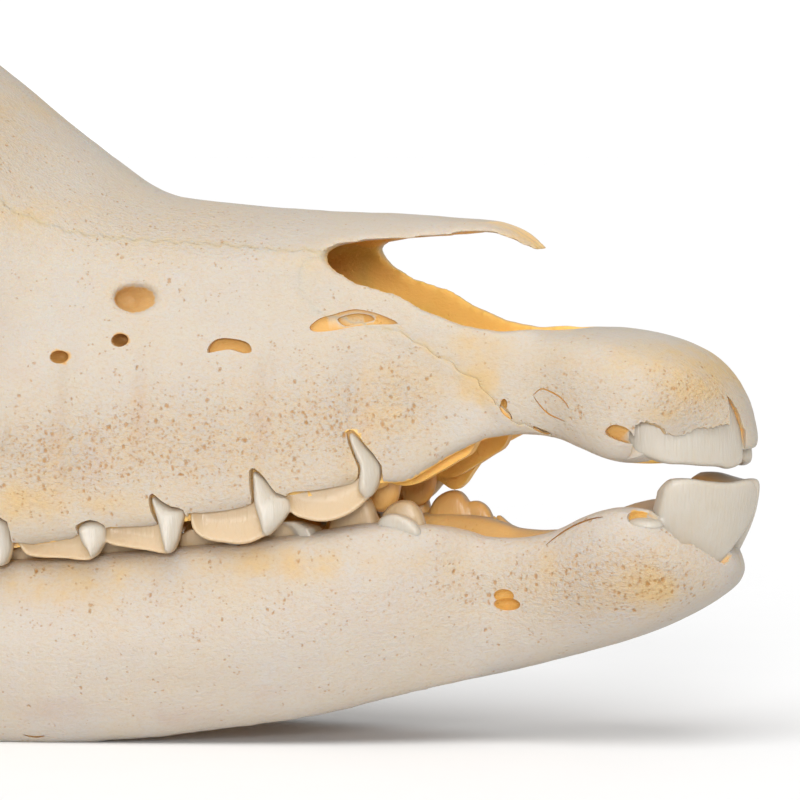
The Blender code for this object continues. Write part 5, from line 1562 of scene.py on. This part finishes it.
def bone_material(name, colour, looks, sizes):
    """Dry bone: ivory, stained, pitted where it is porous, with a painted amber glow of light
    inside its hollows and painted shade deep in its holes.
    """
    material, tree = new_material(name)
    porous = stored(tree, "porous")

    def stain(amount, size, stretch=(1.0, 1.0, 1.0)):
        return grouped(tree, "Bone Stain", Amount=amount, Patch_Size=size, Stretch=stretch)[0]

    def pores(gain, least, size, stretch):
        return grouped(tree, "Bone Pores", Porosity=sums(tree, "MULTIPLY_ADD", porous, gain, least),
                       Cell_Size=size, Stretch=stretch)

    pits = pores(0.6, -0.2, 0.0012, (1.0, 1.0, 0.85))
    small = pores(0.75, 0.0, 0.0009, (1.0, 1.0, 0.8))
    specks = pores(0.6, 0.2, 0.00055, (0.8, 1.0, 0.9))
    grain = grouped(tree, "Fine Grain", Size=0.0005, Stretch=(0.75, 1.0, 1.0))[0]
    tangle = grouped(tree, "Fine Grain", Size=0.0011, Stretch=(0.6, 1.0, 1.0))[0]
    vein = sums(tree, "ABSOLUTE", sums(tree, "SUBTRACT", tangle, 0.5))
    rough_bone = sums(tree, "MULTIPLY_ADD", porous, 0.55, 0.12)
    hole = sums(tree, "MAXIMUM", pits["Pits"],
                sums(tree, "MAXIMUM", sums(tree, "MULTIPLY", small["Pits"], 0.8),
                     sums(tree, "MULTIPLY", specks["Pits"], 0.6)))
    seam = sums(tree, "MULTIPLY", level(tree, stored(tree, "seam"), 0.5, 1.0),
                level(tree, tangle, 0.35, 0.6))
    paint = layered(tree, colour, (
        (porous, 0.55, looks.spongy),
        (stain(0.42, 0.011, (1.0, 1.0, 0.7)), 0.6, looks.warm),
        (stain(0.38, 0.0035), 0.35, looks.rose),
        (stain(stored(tree, "warm"), 0.006), 0.8, looks.stain),
        (stain(stored(tree, "rose"), 0.008), 0.7, looks.rose),
        (level(tree, vein, 0.05, 0.0), sums(tree, "MULTIPLY", rough_bone, 0.6), looks.stain),
        (level(tree, grain, 0.52, 0.34), rough_bone, looks.fleck),
        (hole, 0.9, looks.pit),
        (seam, 0.6, looks.stain),
        # Painted glow of light inside the hollows, and painted shade at the far end of holes.
        (stored(tree, "painted_glow"), 0.9, looks.hollow_glow),
        (stored(tree, "painted_shade"), 1.0, looks.shade)))
    height = pits["Height"]
    for part, share in ((small["Height"], 0.6), (specks["Height"], 0.35), (grain, 0.5),
                        (vein, sums(tree, "MULTIPLY_ADD", porous, 3.0, 0.4))):
        height = sums(tree, "MULTIPLY_ADD", part, share, height)
    shader = finish(tree, paint, sums(tree, "MULTIPLY_ADD", grain, 0.2, 0.5), height, 0.8,
                    (1.0, 0.55, 0.25), looks, sizes)
    shader.inputs["Specular IOR Level"].default_value = 0.3
    return material


def enamel_material(name, looks, sizes):
    """New milk teeth: pale, finely striped from root to tip, with a painted amber glow where they
    face inwards and partly painted shade in their warm colour near the gum.
    """
    material, tree = new_material(name)
    stripes = grouped(tree, "Fine Grain", Size=0.00045, Stretch=(1.0, 1.0, 0.09))[0]
    cloud = grouped(tree, "Bone Stain", Amount=0.4, Patch_Size=0.006)[0]
    paint = layered(tree, looks.enamel, (
        (cloud, 0.4, looks.enamel_shade),
        (level(tree, stripes, 0.55, 0.4), 0.2, looks.enamel_shade),
        # The root colour is partly creamy dentin and partly painted shade under the gum edge; the
        # amber is a painted glow on faces turned inwards.
        (stored(tree, "warm"), 0.75, looks.root),
        (stored(tree, "painted_glow"), 1.0, looks.tooth_glow)))
    finish(tree, paint, sums(tree, "MULTIPLY_ADD", stripes, 0.2, 0.28), stripes, 0.35,
           (1.0, 0.6, 0.35), looks, sizes)
    return material


def table_material(name, colour):
    """The white table, with a faint unevenness."""
    material, tree = new_material(name)
    shader = tree.nodes["Principled BSDF"]
    speckle = add(tree, "ShaderNodeTexNoise",
                  {"Vector": add(tree, "ShaderNodeTexCoord").outputs["Object"], "Scale": 40.0})
    shade = blended(tree, speckle.outputs["Fac"], colour, tuple(0.985 * c for c in colour))
    tree.links.new(shade, shader.inputs["Base Color"])
    shader.inputs["Roughness"].default_value = 0.6
    shader.inputs["Specular IOR Level"].default_value = 0.2
    return material


# Settings.

def length_property(name, description, default):
    """A length in metres that the user can change."""
    return FloatProperty(name=name, description=description, default=default,
                         subtype="DISTANCE", unit="LENGTH")


def angle_property(name, description, degrees):
    """An angle that the user can change."""
    return FloatProperty(name=name, description=description, default=math.radians(degrees),
                         subtype="ANGLE", unit="ROTATION")


def colour_property(name, description, default):
    """A colour that the user can change."""
    return FloatVectorProperty(name=name, description=description, default=default,
                               subtype="COLOR", size=3, min=0.0, max=1.0)


class SkullSizes(PropertyGroup):
    """Sizes that set how finely the skull is modelled."""

    bone_mesh: length_property("Bone mesh", "Edge length of the bones' mesh", 0.0006)
    tooth_mesh: length_property("Tooth mesh", "Edge length of the teeth's mesh", 0.0003)
    rounding: IntProperty(name="Rounding", description="How often the bones' skin is smoothed",
                          default=8)
    lumps: length_property("Lumps", "Height of the small lumps on the bones", 0.0001)
    pit_depth: length_property("Pit depth", "Depth of the pits in porous bone", 0.0003)
    glow_reach: length_property("Glow reach", "How far light travels inside bone", 0.003)


class SkullColours(PropertyGroup):
    """Colours of the bone and the teeth."""

    bone: colour_property("Bone", "Plain dry bone", (0.43, 0.40, 0.365))
    warm: colour_property("Warm bone", "The warmer mottling of the bone", (0.455, 0.37, 0.255))
    stain: colour_property("Stain", "Yellow-orange stains", (0.49, 0.335, 0.15))
    rose: colour_property("Rose", "Pinkish-grey patches", (0.4, 0.325, 0.275))
    pit: colour_property("Pits", "The bottom of pits", (0.34, 0.16, 0.035))
    spongy: colour_property("Spongy bone", "Bone where it is porous", (0.36, 0.3, 0.24))
    fleck: colour_property("Flecks", "Small darker flecks in rough bone", (0.4, 0.265, 0.135))
    # Painted glow: the amber of light that bounces inside the hollows and shines through the thin
    # bone.
    hollow_glow: colour_property("Hollows", "Bone inside the hollows", (0.95, 0.55, 0.12))
    enamel: colour_property("Enamel", "New enamel", (0.42, 0.385, 0.33))
    enamel_shade: colour_property("Enamel shade", "Creamier enamel", (0.39, 0.315, 0.215))
    shade: colour_property("Deep shade", "The far end of small holes", (0.13, 0.022, 0.005))
    # A painted amber glow of light on teeth where they face inwards.
    tooth_glow: colour_property("Amber teeth", "Teeth seen from inside", (0.68, 0.40, 0.13))
    # Partly the creamy colour of tooth walls and partly painted shade under the overhanging gum
    # edge.
    root: colour_property("Root", "Tooth walls near the gum", (0.46, 0.31, 0.15))
    glow: FloatProperty(name="Glow", description="Share of the light that travels inside",
                        default=0.3, min=0.0, max=1.0)


class StageSettings(PropertyGroup):
    """The photograph's view and light."""

    azimuth: angle_property("Azimuth", "The camera's turn to the skull's front", 17.0)
    elevation: angle_property("Elevation", "The camera's height angle", 2.5)
    distance: length_property("Distance", "From the camera to its target", 1.0)
    target: FloatVectorProperty(name="Target", description="What the camera looks at",
                                default=(0.0937, 0.0, 0.0562), subtype="XYZ", unit="LENGTH", size=3)
    lens: FloatProperty(name="Lens", description="Focal length in millimetres", default=270.0)
    floor: colour_property("Floor", "The white table", (0.87, 0.87, 0.87))


def settings(context):
    """The three groups of settings."""
    scene = context.scene
    return scene.skull_sizes, scene.skull_colours, scene.skull_stage


# How some finishes tint plain bone.
TINTS = {"maxillary_bone": (0.99, 0.98, 0.95), "nasal_bone": (1.0, 0.98, 0.94),
         "incisive_bone": (1.0, 0.98, 0.93), "inner_bone": (0.96, 0.86, 0.68)}


def material_of(slot, context):
    """The material of one finish in the record, made when it is first asked for."""
    sizes, looks, _ = settings(context)
    found = bpy.data.materials.get("foal_" + slot)
    if found:
        return found
    if slot == "tooth_enamel":
        return enamel_material("foal_" + slot, looks, sizes)
    colour = tuple(a * b for a, b in zip(looks.bone, TINTS.get(slot, (1, 1, 1))))
    return bone_material("foal_" + slot, colour, looks, sizes)


def dress(made, slot, nodes, context):
    """Gives a finished piece its material, its place in the frame and smooth shading."""
    made.data.materials.clear()
    made.data.materials.append(material_of(slot, context))
    pick(made)
    bpy.ops.object.shade_smooth_by_angle(angle=math.radians(50))
    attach(made, "root")
    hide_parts(*nodes)


# Finishes in the record that some bones have, and how far two bones' edges stand up or dip.
SLOTS = {"maxilla": "maxillary_bone", "nasal": "nasal_bone", "incisive": "incisive_bone",
         "sphenoid": "inner_bone", "vomer": "inner_bone"}
LIPS = {"maxilla": 0.4, "incisive": -0.1}


# Operators.

class SKULL_OT_upper_bones(Operator):
    """Model the bones of the upper skull and part them along their sutures"""

    bl_idname = "skull.upper_bones"
    bl_label = "Upper skull"

    def execute(self, context):
        sizes = context.scene.skull_sizes
        whole = half_of(whole_cranium(sizes))
        carve(whole, sizes)
        combine(whole, [palate_edge(PALATE_RIDGE, *RIDGE_PLACE)], "UNION")
        floors = open_up(whole)
        for bone, node, index in part_bones(whole):
            if node == "maxilla_left":
                combine(bone, [palate_edge(PALATE_FLAP, *FLAP_PLACE)], "UNION")
            stains(bone, suture_distance(places_of(bone), index), floors)
            kind = node.split("_")[0]
            if kind in LIPS:
                raise_lip(bone, LIPS[kind])
            dress(bone, SLOTS.get(kind, "skull_bone"), [node], context)
        return {"FINISHED"}


class SKULL_OT_lower_jaw(Operator):
    """Model both halves of the lower jaw"""

    bl_idname = "skull.lower_jaw"
    bl_label = "Lower jaw"

    def execute(self, context):
        sizes = context.scene.skull_sizes
        left = half_of(whole_jaw(sizes))
        places = places_of(left)
        lift(left, small_lumps(places, sizes) + spots(places, JAW_BUMPS) * outward_share(left))
        cover(left, LOWER_AT, LOWER_GUM, -1, 0.5)
        floors = open_jaw(left)
        left.name = left.data.name = "mandible_left_bone"
        for half in (left, mirrored(left, "mandible_right_bone")):
            stains(half, np.abs(places_of(half)[:, 1]), floors, upper=False)
            dress(half, "mandible_bone", [half.name.removesuffix("_bone")], context)
        return {"FINISHED"}


class SKULL_OT_cheek_teeth(Operator):
    """Model the milk cheek teeth of both jaws"""

    bl_idname = "skull.cheek_teeth"
    bl_label = "Cheek teeth"

    def execute(self, context):
        sizes = context.scene.skull_sizes
        for side in SIDES:
            upper, lower = upper_row(side, sizes), lower_row(side, sizes)
            face = np.array([gum_face(u, z) for u, z in places_of(upper)[:, (0, 2)]])
            stain_row(upper, face, 0.2)
            dress(upper, "tooth_enamel", ["maxilla_" + word(side)], context)
            stain_row(lower, between(JAW_TOP, places_of(lower)[:, 0], 1) + LOWER_FACE, 0.8)
            dress(lower, "tooth_enamel", ["mandible_" + word(side)], context)
        return {"FINISHED"}


class SKULL_OT_incisors(Operator):
    """Model the central milk incisors of both jaws"""

    bl_idname = "skull.incisors"
    bl_label = "Incisors"

    def execute(self, context):
        sizes = context.scene.skull_sizes
        teeth = (("upper_incisor", UPPER_CROWN, UPPER_CORE, UPPER_AT, "incisive_", ()),
                 ("lower_incisor", LOWER_CROWN, LOWER_CORE, LOWER_AT, "mandible_", (BUD,)))
        for side in SIDES:
            for name, outline, core, at, node, buds in teeth:
                tooth = incisor(name, outline, core, at, side, sizes, buds)
                places = places_of(tooth)
                s, rise = at.inverse(places * (1, side, 1))
                inward = np.where(s > BUD_FROM, 0.0, -rise)
                # A painted amber glow on the inner body of each incisor.
                mark(tooth, "painted_glow", 0.8 * smooth_step(inward, 1.5, 4.5))
                mark(tooth, "warm", np.zeros(len(places)))
                dress(tooth, "tooth_enamel", [node + word(side)], context)
        return {"FINISHED"}


TABLE_SIZE = 60.0
ROOM_LIGHT, ROOM_SEEN = 0.62, 1.1  # how bright the room lights the skull, and how bright it looks
CLIP = 0.05, 100.0
# Lights: strength, spread, azimuth and height, the last three in degrees.
LIGHTS = {"key_light": (1.8, 50.0, 8.0, 56.0), "low_light": (2.0, 14.0, 15.0, 12.0)}


def from_skull(azimuth, height):
    """The direction that leads away from the skull at these angles."""
    return Vector((math.sin(azimuth) * math.cos(height), -math.cos(azimuth) * math.cos(height),
                   math.sin(height)))


def hang(name, kind, back, distance, target=(0.0, 0.0, 0.0)):
    """A camera or a light that looks at the target from this direction and distance."""
    made = bpy.data.objects.new(name, kind)
    bpy.context.scene.collection.objects.link(made)
    made.location = Vector(target) + back * distance
    made.rotation_mode = "QUATERNION"
    made.rotation_quaternion = (-back).to_track_quat("-Z", "Y")
    return made


def light_room(world):
    """A white room, which looks brighter to the camera than it lights the skull."""
    world.use_nodes = True
    tree = world.node_tree
    lit = tree.nodes["Background"]
    lit.inputs["Color"].default_value = (1.0, 1.0, 1.0, 1.0)
    lit.inputs["Strength"].default_value = ROOM_LIGHT
    seen = add(tree, "ShaderNodeBackground", {"Color": (1, 1, 1, 1), "Strength": ROOM_SEEN})
    path = add(tree, "ShaderNodeLightPath")
    mix = add(tree, "ShaderNodeMixShader", {0: path.outputs["Is Camera Ray"],
                                            1: lit.outputs[0], 2: seen.outputs[0]})
    tree.links.new(mix.outputs[0], tree.nodes["World Output"].inputs[0])


class SKULL_OT_stage(Operator):
    """Set up the white table, the soft light and the photograph's camera"""

    bl_idname = "skull.stage"
    bl_label = "Stage"

    def execute(self, context):
        stage, scene = context.scene.skull_stage, context.scene
        bpy.ops.object.select_all(action="DESELECT")
        bpy.ops.mesh.primitive_plane_add(size=TABLE_SIZE, location=(0, 0, 0))
        floor = context.object
        floor.name = "floor"
        floor.data.materials.append(table_material("white_table", tuple(stage.floor)))
        view = bpy.data.cameras.new("camera")
        view.lens = stage.lens
        view.clip_start, view.clip_end = CLIP
        back = from_skull(stage.azimuth, stage.elevation)
        scene.camera = hang("camera", view, back, stage.distance, stage.target)
        for name, (strength, spread, azimuth, height) in LIGHTS.items():
            lamp = bpy.data.lights.new(name, "SUN")
            lamp.energy, lamp.angle = strength, math.radians(spread)
            hang(name, lamp, from_skull(math.radians(azimuth), math.radians(height)), 1.0)
        scene.world = bpy.data.worlds.new("white_room")
        light_room(scene.world)
        scene.view_settings.view_transform = "Standard"
        return {"FINISHED"}


class SKULL_PT_panel(Panel):
    """The skull's settings and its pieces"""

    bl_label = "Foal Skull"
    bl_idname = "SKULL_PT_panel"
    bl_space_type = "VIEW_3D"
    bl_region_type = "UI"
    bl_category = "Skull"

    def draw(self, context):
        for group in settings(context):
            box = self.layout.box()
            for key in group.bl_rna.properties.keys():
                if key not in ("rna_type", "name"):
                    box.prop(group, key)
        for step in STEPS:
            self.layout.operator(step.bl_idname)


STEPS = (SKULL_OT_upper_bones, SKULL_OT_lower_jaw, SKULL_OT_cheek_teeth, SKULL_OT_incisors,
         SKULL_OT_stage)
GROUPS = (SkullSizes, SkullColours, StageSettings)


def register():
    """Adds the settings, the operators and the panel to Blender."""
    for item in GROUPS + STEPS + (SKULL_PT_panel,):
        bpy.utils.register_class(item)
    bpy.types.Scene.skull_sizes = PointerProperty(type=SkullSizes)
    bpy.types.Scene.skull_colours = PointerProperty(type=SkullColours)
    bpy.types.Scene.skull_stage = PointerProperty(type=StageSettings)


def unregister():
    """Takes them out again."""
    for key in ("skull_stage", "skull_colours", "skull_sizes"):
        delattr(bpy.types.Scene, key)
    for item in reversed(GROUPS + STEPS + (SKULL_PT_panel,)):
        bpy.utils.unregister_class(item)


def main():
    """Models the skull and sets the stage."""
    register()
    bpy.ops.object.select_all(action="DESELECT")
    make_groups()
    bpy.ops.skull.upper_bones()
    bpy.ops.skull.lower_jaw()
    bpy.ops.skull.cheek_teeth()
    bpy.ops.skull.incisors()
    bpy.ops.skull.stage()


if __name__ == "__main__":
    main()
